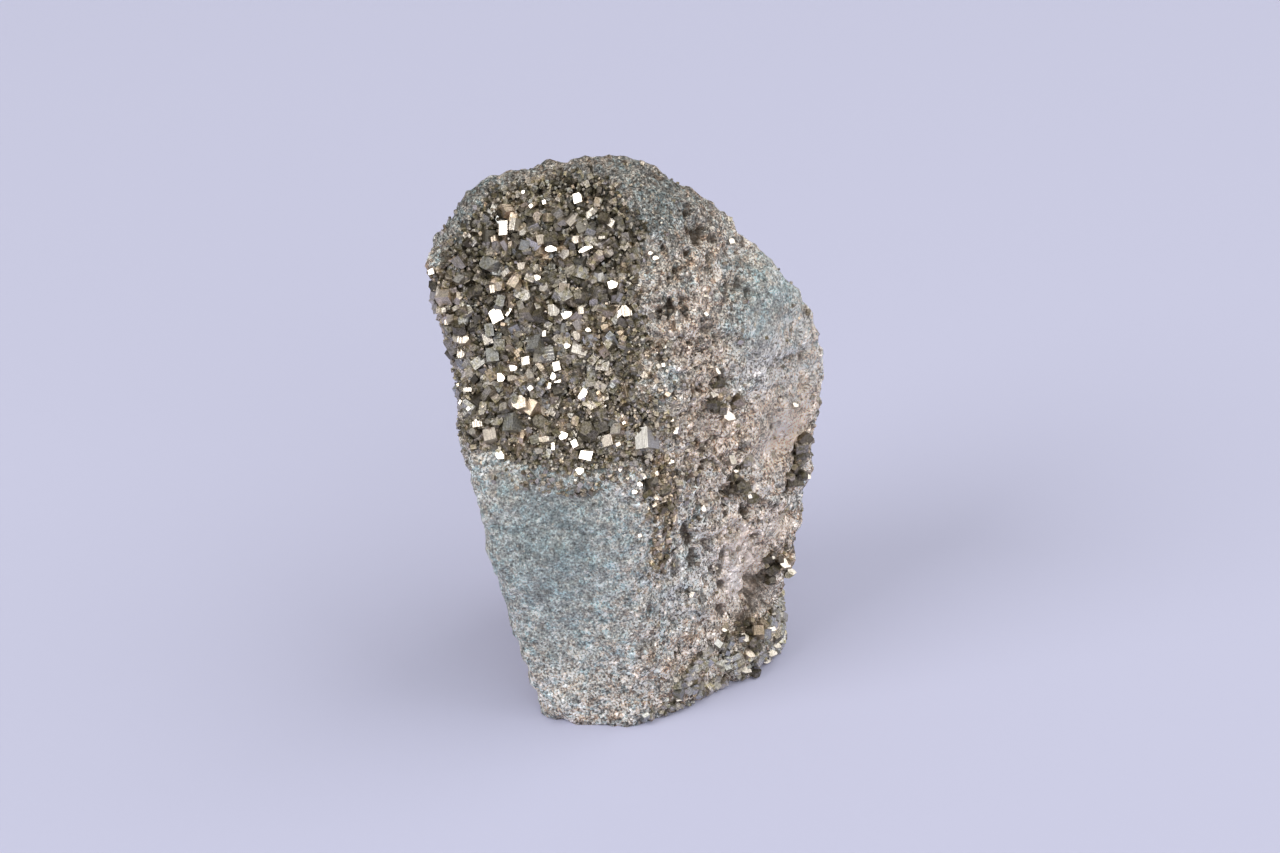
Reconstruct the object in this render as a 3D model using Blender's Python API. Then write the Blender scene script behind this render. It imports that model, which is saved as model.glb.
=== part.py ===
"""Pyrite freeform: a small lump of grey-green matrix rock, 46 mm tall, with a druse of pyrite crystals.

The rock is one solid. Its form is a rounded set of named cut faces around an inner point, with lumps,
pits and a shallow hollow under the druse. The druse is a crust of crystals grown together, and six small
clusters sit on the right flank. Lengths are in millimetres, x to the right, y away from the viewer and
z up. The finished meshes are scaled to metres.
"""

import itertools
import math
import random

import bmesh
import bpy
import numpy as np
from mathutils import Matrix, Quaternion, Vector, noise
from mathutils.bvhtree import BVHTree

METRES_PER_MM = 0.001
GAP = 0.3
TO_BASE_CENTRE = Vector((0.38, -0.02, 0.0))

# Form of the rock: where the inner point lies and how far each cut face is from it
HEART = Vector((0.42, -2.18, 23.0))
ROUNDING = 16
FACES = {
    # name: (azimuth, elevation, distance), azimuth 0 faces the viewer and grows to the right
    "front": (-6, 2, 8.4),
    "druse_face": (-11, 24, 7.4),
    "brow": (-12, 49, 14.4),
    "crown": (10, 78, 23.8),
    "flank": (42, 4, 6.3),
    "upper_flank": (45, 24, 9.8),
    "shoulder": (80, 52, 18.1),
    "right": (91, -2, 17.6),
    "right_foot": (104, -13, 17.7),
    "back_right": (153, 16, 14.4),
    "back": (181, 4, 11.9),
    "upper_back": (185, 41, 20.2),
    "back_left": (-148, 0, 12.6),
    "left_foot": (-89, -14, 13.0),
    "upper_left": (-51, 49, 20.3),
    "left": (-95, 5, 20.5),
    "underside": (0, -90, 26.0),
}

# Lumps and pits: (centre, spread, height), a negative height is a pit
RELIEF = {
    "left_notch": ((-14.3, -4.6, 31.3), 2.6, -1.15),
    "upper_left_rim": ((-14.5, -1.0, 40.0), 3.0, -0.4),
    "top_left": ((-6.5, 2.5, 44.6), 3.0, -0.45),
    "top_lump": ((-1.0, 2.5, 46.0), 2.4, 0.4),
    "shoulder_dent": ((10.6, 1.0, 38.6), 2.2, -1.1),
    "shoulder_ledge": ((13.2, 1.5, 34.4), 2.2, 0.6),
    "pale_swelling": ((10.9, -0.5, 29.2), 2.0, 0.3),
    "upper_pit": ((5.5, -0.3, 40.8), 0.9, -0.9),
    "shoulder_pit": ((9.1, -0.1, 36.0), 0.8, -0.7),
    "rim_pit": ((13.0, 0.5, 20.2), 1.0, -0.8),
    "rim_dent": ((15.0, 2.0, 16.5), 2.2, -0.6),
    "seam_ridge": ((2.6, -8.8, 20.8), 1.7, 0.5),
    "crack_pit": ((5.1, -7.0, 15.2), 0.9, -0.8),
    "pink_pocket": ((10.3, -3.1, 8.0), 2.3, -1.2),
    "foot_ledge": ((10.0, -3.7, 1.6), 2.0, 1.0),
    "front_dish": ((-5.5, -10.0, 20.5), 2.8, -0.35),
    "back_ridge": ((-3.0, 10.0, 31.0), 4.5, 0.9),
    "back_hollow": ((4.5, 9.5, 16.0), 3.6, -0.9),
    "back_dent": ((-7.5, 5.5, 12.0), 3.0, -0.7),
}
ROUGHNESS = ((6.0, 0.40), (2.6, 0.26))
ROCK_CELLS = 16
CRUST_CELLS = 8
BASE_SNAP = 0.12
MERGE_DISTANCE = 0.001

# Hollow under the druse, outlined as seen from the front: (x, z)
DRUSE_OUTLINE = (
    (-20.0, 33.0),
    (-18.5, 38.5),
    (-15.0, 42.6),
    (-10.5, 44.6),
    (-5.0, 45.2),
    (-0.5, 44.2),
    (2.6, 41.5),
    (1.2, 38.0),
    (2.4, 34.5),
    (1.2, 31.0),
    (2.8, 27.6),
    (0.6, 24.7),
    (-4.5, 23.5),
    (-9.5, 23.9),
    (-16.5, 25.6),
)
DRUSE_BACK_Y = 3.4
HOLLOW_DEPTH = 1.5
HOLLOW_EDGE = 2.0
CRUST_TOP = 0.45
CRUST_BOTTOM = 2.0
RAY_START_Y = -40.0

# Crystals of the druse: the large ones that stand out, then the rest scattered by a seeded draw
LARGE_CRYSTALS = (
    # x, z, size, habit
    (-8.5, 28.8, 2.3, "cube"),
    (-11.2, 26.4, 1.9, "cube"),
    (-3.9, 27.6, 2.2, "pyritohedron"),
    (-7.7, 33.2, 1.8, "pyritohedron"),
    (-10.4, 35.3, 1.8, "cube"),
    (-13.3, 32.8, 2.0, "cube"),
    (-10.1, 41.4, 1.8, "cube"),
    (-11.4, 38.9, 1.9, "clipped_cube"),
    (-6.4, 41.3, 1.7, "clipped_cube"),
    (-3.4, 40.4, 1.7, "cube"),
    (-5.9, 35.9, 1.5, "cube"),
    (-0.2, 36.4, 1.5, "cube"),
    (-8.3, 32.0, 1.5, "cube"),
    (-3.6, 30.0, 1.5, "cube"),
    (-1.7, 26.7, 1.6, "cube"),
    (0.9, 27.1, 2.0, "clipped_cube"),
    (-5.3, 26.8, 1.3, "cube"),
    (-10.2, 30.6, 1.3, "cube"),
)
SCATTER_SEED = 21
SCATTER_TRIES = 1500
SCATTER_SIZES = (1.1, 1.9)
SCATTER_SPACING = 0.45
SCATTER_STRETCH = (0.85, 1.15)
SCATTER_HOLLOW_SHARE = 0.6
SCATTER_HABITS = ("cube", "cube", "cube", "cube", "cube", "clipped_cube")

# Shares of a crystal's size: its rise above the crust, its cut-off root, its clipped corners and its roofs
CRYSTAL_RISE = 0.12
ROOT_DEPTH = 0.3
CLIPPED_CORNER = 0.22
PYRITOHEDRON_SCALE = 0.8

# Small clusters: (x, y, z, size, habit) of each crystal
CLUSTERS = {
    "seam_crystals": (
        (2.4, -9.0, 22.6, 1.7, "pyritohedron"),
        (3.1, -8.6, 21.5, 1.6, "cube"),
        (2.3, -9.2, 20.6, 1.5, "clipped_cube"),
        (2.9, -8.8, 19.6, 1.4, "cube"),
        (2.2, -9.4, 18.7, 1.2, "cube"),
    ),
    "flank_crystals": (
        (6.9, -4.2, 28.6, 1.5, "cube"),
        (7.3, -3.9, 27.6, 1.6, "clipped_cube"),
        (8.1, -3.4, 26.4, 1.9, "cube"),
        (7.4, -3.9, 26.0, 1.2, "cube"),
    ),
    "lower_flank_crystals": (
        (8.5, -3.5, 20.9, 1.4, "cube"),
        (9.0, -3.2, 19.8, 1.8, "pyritohedron"),
        (9.6, -2.8, 18.7, 1.7, "cube"),
        (9.9, -2.5, 17.6, 1.5, "clipped_cube"),
    ),
    "rim_crystals": (
        (14.7, 2.2, 19.2, 1.9, "pyritohedron"),
        (14.3, 1.6, 17.9, 1.8, "cube"),
        (14.1, 1.3, 16.6, 1.6, "clipped_cube"),
    ),
    "low_rim_crystals": (
        (13.5, 0.1, 8.8, 1.8, "cube"),
        (12.7, -0.8, 9.2, 1.8, "pyritohedron"),
        (13.1, -0.3, 7.8, 1.3, "cube"),
    ),
    "foot_crystals": (
        (8.1, -5.3, 5.4, 1.5, "cube"),
        (9.1, -4.6, 4.7, 1.8, "pyritohedron"),
        (10.2, -3.7, 4.2, 1.9, "cube"),
        (11.2, -2.7, 3.6, 2.0, "clipped_cube"),
        (12.1, -1.9, 2.9, 1.8, "cube"),
        (10.3, -3.6, 2.8, 1.5, "cube"),
        (9.2, -4.5, 3.2, 1.4, "clipped_cube"),
    ),
}
CLUSTER_SEED = 5
CLUSTER_SINK = 0.15

ROCK_COLOUR = (0.30, 0.29, 0.27)
PYRITE_COLOUR = (0.42, 0.36, 0.25)


def clear_scene():
    for obj in list(bpy.data.objects):
        bpy.data.objects.remove(obj)


def material(name, colour, roughness, metallic):
    surface = bpy.data.materials.new(name)
    surface.use_nodes = True
    shader = surface.node_tree.nodes["Principled BSDF"]
    shader.inputs["Base Color"].default_value = (*colour, 1.0)
    shader.inputs["Roughness"].default_value = roughness
    shader.inputs["Metallic"].default_value = metallic
    return surface


def face_normal(azimuth, elevation):
    turn = math.radians(azimuth)
    tilt = math.radians(elevation)
    return (math.sin(turn) * math.cos(tilt), -math.cos(turn) * math.cos(tilt), math.sin(tilt))


FACE_NORMALS = np.array([face_normal(azimuth, elevation) for azimuth, elevation, _ in FACES.values()])
FACE_DISTANCES = np.array([distance for _, _, distance in FACES.values()])


def smooth_form(directions):
    """Points and outward normals of the rounded set of cut faces, one for each direction from the heart."""
    reach = np.clip(directions @ FACE_NORMALS.T, 0.0, None) / FACE_DISTANCES
    radius = (reach**ROUNDING).sum(axis=1) ** (-1.0 / ROUNDING)
    slopes = (reach ** (ROUNDING - 1) / FACE_DISTANCES) @ FACE_NORMALS
    normals = slopes / np.linalg.norm(slopes, axis=1, keepdims=True)
    return np.array(HEART) + directions * radius[:, None], normals


def relief(point):
    """Height of the lumps, pits and rough ground at a point of the smooth form."""
    height = 0.0
    for centre, spread, amount in RELIEF.values():
        height += amount * math.exp(-0.5 * ((point - Vector(centre)).length / spread) ** 2)
    for wavelength, amount in ROUGHNESS:
        height += amount * noise.noise(point / wavelength)
    return height


def inside_distance(x, z):
    """Distance from the druse's outline, positive inside it."""
    nearest = math.inf
    inside = False
    for start, end in zip(DRUSE_OUTLINE, DRUSE_OUTLINE[1:] + DRUSE_OUTLINE[:1]):
        run = (end[0] - start[0], end[1] - start[1])
        away = (x - start[0], z - start[1])
        along = (away[0] * run[0] + away[1] * run[1]) / (run[0] ** 2 + run[1] ** 2)
        along = min(1.0, max(0.0, along))
        nearest = min(nearest, math.hypot(away[0] - along * run[0], away[1] - along * run[1]))
        if (start[1] > z) != (end[1] > z) and x < start[0] + (z - start[1]) * run[0] / run[1]:
            inside = not inside
    return nearest if inside else -nearest


def hollow_share(point):
    """0 outside the druse's hollow, 1 on its floor, with a smooth slope between."""
    depth = min(inside_distance(point.x, point.z), DRUSE_BACK_Y - point.y)
    share = min(1.0, max(0.0, depth / HOLLOW_EDGE))
    return share * share * (3.0 - 2.0 * share)


def form_ball(cells):
    """A cube of cells rounded out to the rock's surface, and each point's normal and hollow share."""
    ball = bmesh.new()
    bmesh.ops.create_cube(ball, size=2.0)
    bmesh.ops.subdivide_edges(ball, edges=ball.edges[:], cuts=cells - 1, use_grid_fill=True)
    bmesh.ops.triangulate(ball, faces=ball.faces[:])
    directions = np.array([vert.co.normalized() for vert in ball.verts])
    normals = {}
    shares = {}
    for vert, point, normal in zip(ball.verts, *smooth_form(directions)):
        point = Vector(point)
        normals[vert] = Vector(normal)
        shares[vert] = hollow_share(point)
        vert.co = point + normals[vert] * relief(point)
    return ball, normals, shares


def cut_flat_base(mesh):
    for vert in mesh.verts:
        if abs(vert.co.z) < BASE_SNAP:
            vert.co.z = 0.0
    everything = mesh.verts[:] + mesh.edges[:] + mesh.faces[:]
    bmesh.ops.bisect_plane(mesh, geom=everything, plane_co=(0, 0, 0), plane_no=(0, 0, -1), clear_outer=True)
    rim = [edge for edge in mesh.edges if edge.is_boundary]
    bmesh.ops.contextual_create(mesh, geom=rim)
    bmesh.ops.recalc_face_normals(mesh, faces=mesh.faces)


def new_object(name, mesh, surface):
    data = bpy.data.meshes.new(name)
    mesh.to_mesh(data)
    mesh.free()
    data.materials.append(surface)
    obj = bpy.data.objects.new(name, data)
    bpy.context.scene.collection.objects.link(obj)
    return obj


def rock_object(name, surface, swell):
    """The rock with its hollow and flat base, swollen outwards by a distance to cut its neighbours."""
    mesh, normals, shares = form_ball(ROCK_CELLS)
    for vert in mesh.verts:
        vert.co += normals[vert] * (swell - HOLLOW_DEPTH * shares[vert])
    if swell == 0.0:
        cut_flat_base(mesh)
    return new_object(name, mesh, surface)


def crust_object(name, surface):
    """The plate that the druse stands on: a patch of the form, thick enough to be cut by the hollow."""
    mesh, normals, shares = form_ball(CRUST_CELLS)
    away = [face for face in mesh.faces if max(shares[vert] for vert in face.verts) <= 0.0]
    bmesh.ops.delete(mesh, geom=away, context="FACES")
    tops = mesh.verts[:]
    copy = bmesh.ops.duplicate(mesh, geom=tops + mesh.edges[:] + mesh.faces[:])
    for vert in tops:
        copy["vert_map"][vert].co = vert.co - normals[vert] * CRUST_BOTTOM
        vert.co -= normals[vert] * CRUST_TOP
    rims = [edge for edge in mesh.edges if edge.is_boundary]
    bmesh.ops.bridge_loops(mesh, edges=rims)
    bmesh.ops.recalc_face_normals(mesh, faces=mesh.faces)
    return new_object(name, mesh, surface)


def habit_points(habit):
    """Corner points of a crystal habit of about unit width."""
    signs = (-0.5, 0.5)
    cube = list(itertools.product(signs, repeat=3))
    if habit == "cube":
        return cube
    if habit == "clipped_cube":
        points = []
        for corner, short in itertools.product(cube, range(3)):
            point = list(corner)
            point[short] = math.copysign(CLIPPED_CORNER, point[short])
            points.append(tuple(point))
        return points
    roof = [(0.0, a * 1.5, b * 0.75) for a, b in itertools.product(signs, repeat=2)]
    roofs = [point[turn:] + point[:turn] for point in roof for turn in range(3)]
    return [tuple(PYRITOHEDRON_SCALE * value for value in point) for point in cube + roofs]


def add_crystal(mesh, centre, turn, size, habit, stretch=(1.0, 1.0, 1.0)):
    """Adds one convex crystal to a mesh and returns its corners."""
    verts = []
    for point in habit_points(habit):
        grown = Vector([value * share * size for value, share in zip(point, stretch)])
        verts.append(mesh.verts.new(centre + turn @ grown))
    hull = bmesh.ops.convex_hull(mesh, input=verts)
    faces = [item for item in hull["geom"] if isinstance(item, bmesh.types.BMFace)]
    edges = list({edge for face in faces for edge in face.edges})
    bmesh.ops.dissolve_limit(mesh, angle_limit=math.radians(1), verts=verts, edges=edges)
    return verts


def cut_root(mesh, verts, centre, normal, size):
    """Cuts a crystal off flat under its widest part, inside the crust that it grows from."""
    verts = [vert for vert in verts if vert.is_valid]
    edges = list({edge for vert in verts for edge in vert.link_edges})
    faces = list({face for vert in verts for face in vert.link_faces})
    root = centre - normal * size * ROOT_DEPTH
    everything = verts + edges + faces
    cut = bmesh.ops.bisect_plane(mesh, geom=everything, plane_co=root, plane_no=-normal, clear_outer=True)
    rim = [item for item in cut["geom_cut"] if isinstance(item, bmesh.types.BMEdge)]
    bmesh.ops.contextual_create(mesh, geom=rim)


def random_turn(draw):
    parts = [draw.gauss(0, 1) for _ in range(4)]
    return Quaternion(parts).normalized().to_matrix()


def druse_seeds(draw, front):
    """Places of the druse's crystals on the form seen from the front: (point, normal, size, habit)."""
    seeds = []
    for x, z, size, habit in LARGE_CRYSTALS:
        point, normal, _, _ = front.ray_cast(Vector((x, RAY_START_Y, z)), Vector((0, 1, 0)))
        seeds.append((point, normal, size, habit))
    xs = [x for x, _ in DRUSE_OUTLINE]
    zs = [z for _, z in DRUSE_OUTLINE]
    for _ in range(SCATTER_TRIES):
        x = draw.uniform(min(xs), max(xs))
        z = draw.uniform(min(zs), max(zs))
        size = draw.uniform(*SCATTER_SIZES)
        habit = draw.choice(SCATTER_HABITS)
        point, normal, _, _ = front.ray_cast(Vector((x, RAY_START_Y, z)), Vector((0, 1, 0)))
        if point is None or hollow_share(point) < SCATTER_HOLLOW_SHARE:
            continue
        if all((point - other).length > SCATTER_SPACING * (size + width) for other, _, width, _ in seeds):
            seeds.append((point, normal, size, habit))
    return seeds


def joined(base, others, cutter):
    """Unites the base with the others and cuts the cutter away, which leaves one closed body in the base."""
    union = base.modifiers.new("grown_together", "BOOLEAN")
    union.operation = "UNION"
    union.solver = "EXACT"
    union.use_self = True
    union.object = others
    trim = base.modifiers.new("clear_of_rock", "BOOLEAN")
    trim.operation = "DIFFERENCE"
    trim.solver = "EXACT"
    trim.object = cutter
    depsgraph = bpy.context.evaluated_depsgraph_get()
    result = bpy.data.meshes.new_from_object(base.evaluated_get(depsgraph))
    base.modifiers.clear()
    base.data = result
    bpy.data.objects.remove(others)
    keep_largest_body(result)


def keep_largest_body(data):
    """Merges points that nearly coincide and drops crumbs that a cut left loose."""
    mesh = bmesh.new()
    mesh.from_mesh(data)
    bmesh.ops.remove_doubles(mesh, verts=mesh.verts, dist=MERGE_DISTANCE)
    bmesh.ops.dissolve_degenerate(mesh, edges=mesh.edges, dist=MERGE_DISTANCE)
    bodies = []
    left = set(mesh.verts)
    while left:
        front = [left.pop()]
        body = set(front)
        while front:
            vert = front.pop()
            for edge in vert.link_edges:
                other = edge.other_vert(vert)
                if other in left:
                    left.remove(other)
                    body.add(other)
                    front.append(other)
        bodies.append(body)
    bodies.sort(key=len)
    for body in bodies[:-1]:
        bmesh.ops.delete(mesh, geom=list(body), context="VERTS")
    mesh.to_mesh(data)
    mesh.free()


def druse(surface, cutter):
    front, _, _ = form_ball(ROCK_CELLS)
    tree = BVHTree.FromBMesh(front)
    front.free()
    draw = random.Random(SCATTER_SEED)
    crystals = bmesh.new()
    for point, normal, size, habit in druse_seeds(draw, tree):
        centre = point - normal * (CRUST_TOP - CRYSTAL_RISE * size)
        stretch = [draw.uniform(*SCATTER_STRETCH) for _ in range(3)]
        verts = add_crystal(crystals, centre, random_turn(draw), size, habit, stretch)
        cut_root(crystals, verts, centre, normal, size)
    bmesh.ops.recalc_face_normals(crystals, faces=crystals.faces)
    crust = crust_object("pyrite_druse", surface)
    joined(crust, new_object("druse_crystals", crystals, surface), cutter)
    return crust


def cluster(name, places, surface, cutter):
    """One small cluster: its crystals overlap each other, and the rock's gap is cut from their backs."""
    form, _, _ = form_ball(ROCK_CELLS)
    tree = BVHTree.FromBMesh(form)
    form.free()
    draw = random.Random(CLUSTER_SEED)
    first = bmesh.new()
    others = bmesh.new()
    for number, (x, y, z, size, habit) in enumerate(places):
        point, normal, _, _ = tree.find_nearest(Vector((x, y, z)))
        centre = point + normal * CLUSTER_SINK * size
        add_crystal(others if number else first, centre, random_turn(draw), size, habit)
    base = new_object(name, first, surface)
    joined(base, new_object(name + "_others", others, surface), cutter)
    return base


def to_metres(obj):
    obj.data.transform(Matrix.Scale(METRES_PER_MM, 4) @ Matrix.Translation(TO_BASE_CENTRE))


def main():
    clear_scene()
    stone = material("matrix_stone", ROCK_COLOUR, 0.85, 0.0)
    pyrite = material("pyrite", PYRITE_COLOUR, 0.3, 1.0)
    rock = rock_object("matrix_rock", stone, 0.0)
    cutter = rock_object("rock_clearance", stone, GAP)
    pieces = [rock, druse(pyrite, cutter)]
    for name, places in CLUSTERS.items():
        pieces.append(cluster(name, places, pyrite, cutter))
    bpy.data.objects.remove(cutter)
    for piece in pieces:
        to_metres(piece)


main()
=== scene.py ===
"""Looks of the pyrite freeform: fine rock, a druse of separate crystals, materials, floor, light, camera.

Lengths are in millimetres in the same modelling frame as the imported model's source, x to the right, y away
from the viewer and z up. Every finished mesh is moved by TO_BASE_CENTRE and scaled to metres.
"""

import itertools
import math
import random

import bpy
import numpy as np
from mathutils import Matrix, Quaternion, Vector, noise
from mathutils.kdtree import KDTree


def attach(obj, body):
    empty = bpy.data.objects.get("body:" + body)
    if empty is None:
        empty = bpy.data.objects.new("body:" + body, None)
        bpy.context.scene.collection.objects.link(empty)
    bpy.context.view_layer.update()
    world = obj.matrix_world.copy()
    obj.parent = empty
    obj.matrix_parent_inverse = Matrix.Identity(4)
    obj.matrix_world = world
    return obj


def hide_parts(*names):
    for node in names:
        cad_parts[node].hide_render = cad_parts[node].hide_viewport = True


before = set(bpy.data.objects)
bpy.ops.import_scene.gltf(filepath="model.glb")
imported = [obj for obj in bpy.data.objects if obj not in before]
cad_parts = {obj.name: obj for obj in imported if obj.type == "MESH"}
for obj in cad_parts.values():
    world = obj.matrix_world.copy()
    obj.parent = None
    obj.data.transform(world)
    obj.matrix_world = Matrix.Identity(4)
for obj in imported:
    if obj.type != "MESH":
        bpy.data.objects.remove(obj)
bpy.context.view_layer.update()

METRES_PER_MM = 0.001
TO_BASE_CENTRE = np.array((0.38, -0.02, 0.0))

# Camera: 105 mm lens, looking away from the viewer and 32 degrees down at a point inside the rock
LENS_MM = 105.0
SENSOR_MM = 36.0
VIEW_DOWN_DEG = 32.0
VIEW_TARGET = (1.17, -6.68, 26.56)
VIEW_DISTANCE = 301.85
PICTURE_SIZE = (1280, 853)
CLOSEST_SEEN_M = 0.01

# Form of the rock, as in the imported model
HEART = np.array((0.42, -2.18, 23.0))
ROUNDING = 16
FACES = {
    # name: (azimuth, elevation, distance), azimuth 0 faces the viewer and grows to the right
    "front": (-6, 2, 8.4),
    "druse_face": (-11, 24, 7.4),
    "brow": (-12, 49, 14.4),
    "crown": (10, 78, 23.8),
    "flank": (42, 4, 6.3),
    "upper_flank": (45, 24, 9.8),
    "shoulder": (80, 52, 18.1),
    "right": (91, -2, 17.6),
    "right_foot": (104, -13, 17.7),
    "back_right": (153, 16, 14.4),
    "back": (181, 4, 11.9),
    "upper_back": (185, 41, 20.2),
    "back_left": (-148, 0, 12.6),
    "left_foot": (-89, -14, 13.0),
    "upper_left": (-51, 49, 20.3),
    "left": (-95, 5, 20.5),
    "underside": (0, -90, 26.0),
}

# Lumps and pits: (centre, spread, height), a negative height is a pit
RELIEF = {
    "left_notch": ((-14.3, -4.6, 31.3), 2.6, -1.15),
    "upper_left_rim": ((-14.5, -1.0, 40.0), 3.0, -0.4),
    "top_left": ((-6.5, 2.5, 44.6), 3.0, -0.45),
    "top_lump": ((-1.0, 2.5, 46.0), 2.4, 0.4),
    "shoulder_dent": ((10.6, 1.0, 38.6), 2.2, -1.1),
    "shoulder_ledge": ((13.2, 1.5, 34.4), 2.2, 0.6),
    "pale_swelling": ((10.9, -0.5, 29.2), 2.0, 0.3),
    "upper_pit": ((5.5, -0.3, 40.8), 0.9, -0.9),
    "shoulder_pit": ((9.1, -0.1, 36.0), 0.8, -0.7),
    "rim_pit": ((13.0, 0.5, 20.2), 1.0, -0.8),
    "rim_dent": ((15.0, 2.0, 16.5), 2.2, -0.6),
    "seam_ridge": ((2.6, -8.8, 20.8), 1.7, 0.5),
    "crack_pit": ((5.1, -7.0, 15.2), 0.9, -0.8),
    "pink_pocket": ((10.3, -3.1, 8.0), 2.3, -1.2),
    "foot_ledge": ((10.0, -3.7, 1.6), 2.0, 1.0),
    "front_dish": ((-5.5, -10.0, 20.5), 2.8, -0.35),
    "back_ridge": ((-3.0, 10.0, 31.0), 4.5, 0.9),
    "back_hollow": ((4.5, 9.5, 16.0), 3.6, -0.9),
    "back_dent": ((-7.5, 5.5, 12.0), 3.0, -0.7),
}
# Small corrections of the outline, in this scene only
TRIMS = {
    "shoulder_trim": ((15.2, 1.8, 34.2), 1.8, -1.25),
    "rim_trim": ((14.8, 1.5, 12.7), 1.5, -0.75),
    "low_rim_trim": ((13.4, 0.5, 4.6), 1.7, -0.9),
    "left_trim": ((-14.6, -3.4, 30.0), 1.5, -1.25),
}
ROUGHNESS = ((6.0, 0.40), (2.6, 0.26))
FINE_ROUGHNESS = ((1.5, 0.40), (0.80, 0.30), (0.5, 0.18))
FINE_OFFSET = 11.0
FINE_CELLS = 122

# Small pits scattered over the broken surfaces, carved in and painted dark: partly brown pit interiors,
# partly painted shade
PIT_SEED = 3
PIT_COUNT = 110
PIT_SPREADS = (0.14, 0.34)
PIT_DEPTHS = (0.15, 0.55)
PIT_OCTAVES = ((1.7, 0.55), (0.75, 0.40), (0.4, 0.45))
PIT_START = 0.22
PIT_FULL = 0.50
PIT_NOISE_DEPTH = 0.85
PIT_OFFSET = 47.0
# How dark a pit is painted for its depth, as painted shade in the pit
PIT_DARKENING = 2.2
PIT_FROM_X = 1.0
PIT_FROM_Z = 1.0
PIT_DRUSE_DEPTH = -0.5
BROKEN_X = (0.0, 3.0)

# Hollow under the druse, outlined as seen from the front: (x, z)
DRUSE_OUTLINE = (
    (-20.0, 33.0), (-17.2, 35.8), (-15.4, 38.4), (-13.6, 41.0), (-11.6, 43.4), (-7.6, 45.5), (-2.2, 45.4),
    (2.4, 42.4), (1.2, 38.0), (2.4, 34.5), (1.2, 31.0), (2.8, 27.6), (0.6, 24.7), (-4.5, 23.5),
    (-9.5, 23.9), (-16.5, 25.6),
)
DRUSE_BACK_Y = 3.4
HOLLOW_DEPTH = 1.5
HOLLOW_EDGE = 2.0
BED_DEPTH = 0.75

# Softboxes: name: (azimuth, elevation, distance, diameter, watts), in degrees and metres
LIGHTS = {
    "left_softbox": (-61.0, 40.0, 1.0, 0.56, 4.4),
    "right_softbox": (98.0, 50.0, 1.0, 1.10, 4.8),
    "front_fill": (24.0, 33.0, 1.3, 1.4, 4.4),
}
LIGHT_COLOUR = (1.0, 0.98, 0.95)
LIGHT_AIM_HEIGHT = 0.02
# Dim surroundings, brighter towards one side of the sky
WORLD_COLOUR = (1.0, 0.99, 0.98, 1)
WORLD_UP = (0.25, 0.45, 0.85)
WORLD_LEVELS = {"From Min": -0.3, "From Max": 1.0, "To Min": 0.32, "To Max": 0.47}


def normal_of(azimuth, elevation):
    """Unit direction towards an azimuth, 0 at the viewer and growing to the right, and an elevation."""
    turn = math.radians(azimuth)
    tilt = math.radians(elevation)
    return (math.sin(turn) * math.cos(tilt), -math.cos(turn) * math.cos(tilt), math.sin(tilt))


def glint_direction(light):
    """Where a face has to look to mirror a light to the viewer."""
    azimuth, elevation = LIGHTS[light][:2]
    return (VIEW_DIRECTION + Vector(normal_of(azimuth, elevation))).normalized()


VIEW_DIRECTION = Vector(normal_of(0.0, VIEW_DOWN_DEG))
PICTURE_UP = Vector((0.0, VIEW_DIRECTION.z, -VIEW_DIRECTION.y))
LEFT_GLINT = glint_direction("left_softbox")
RIGHT_GLINT = glint_direction("right_softbox")

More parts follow.
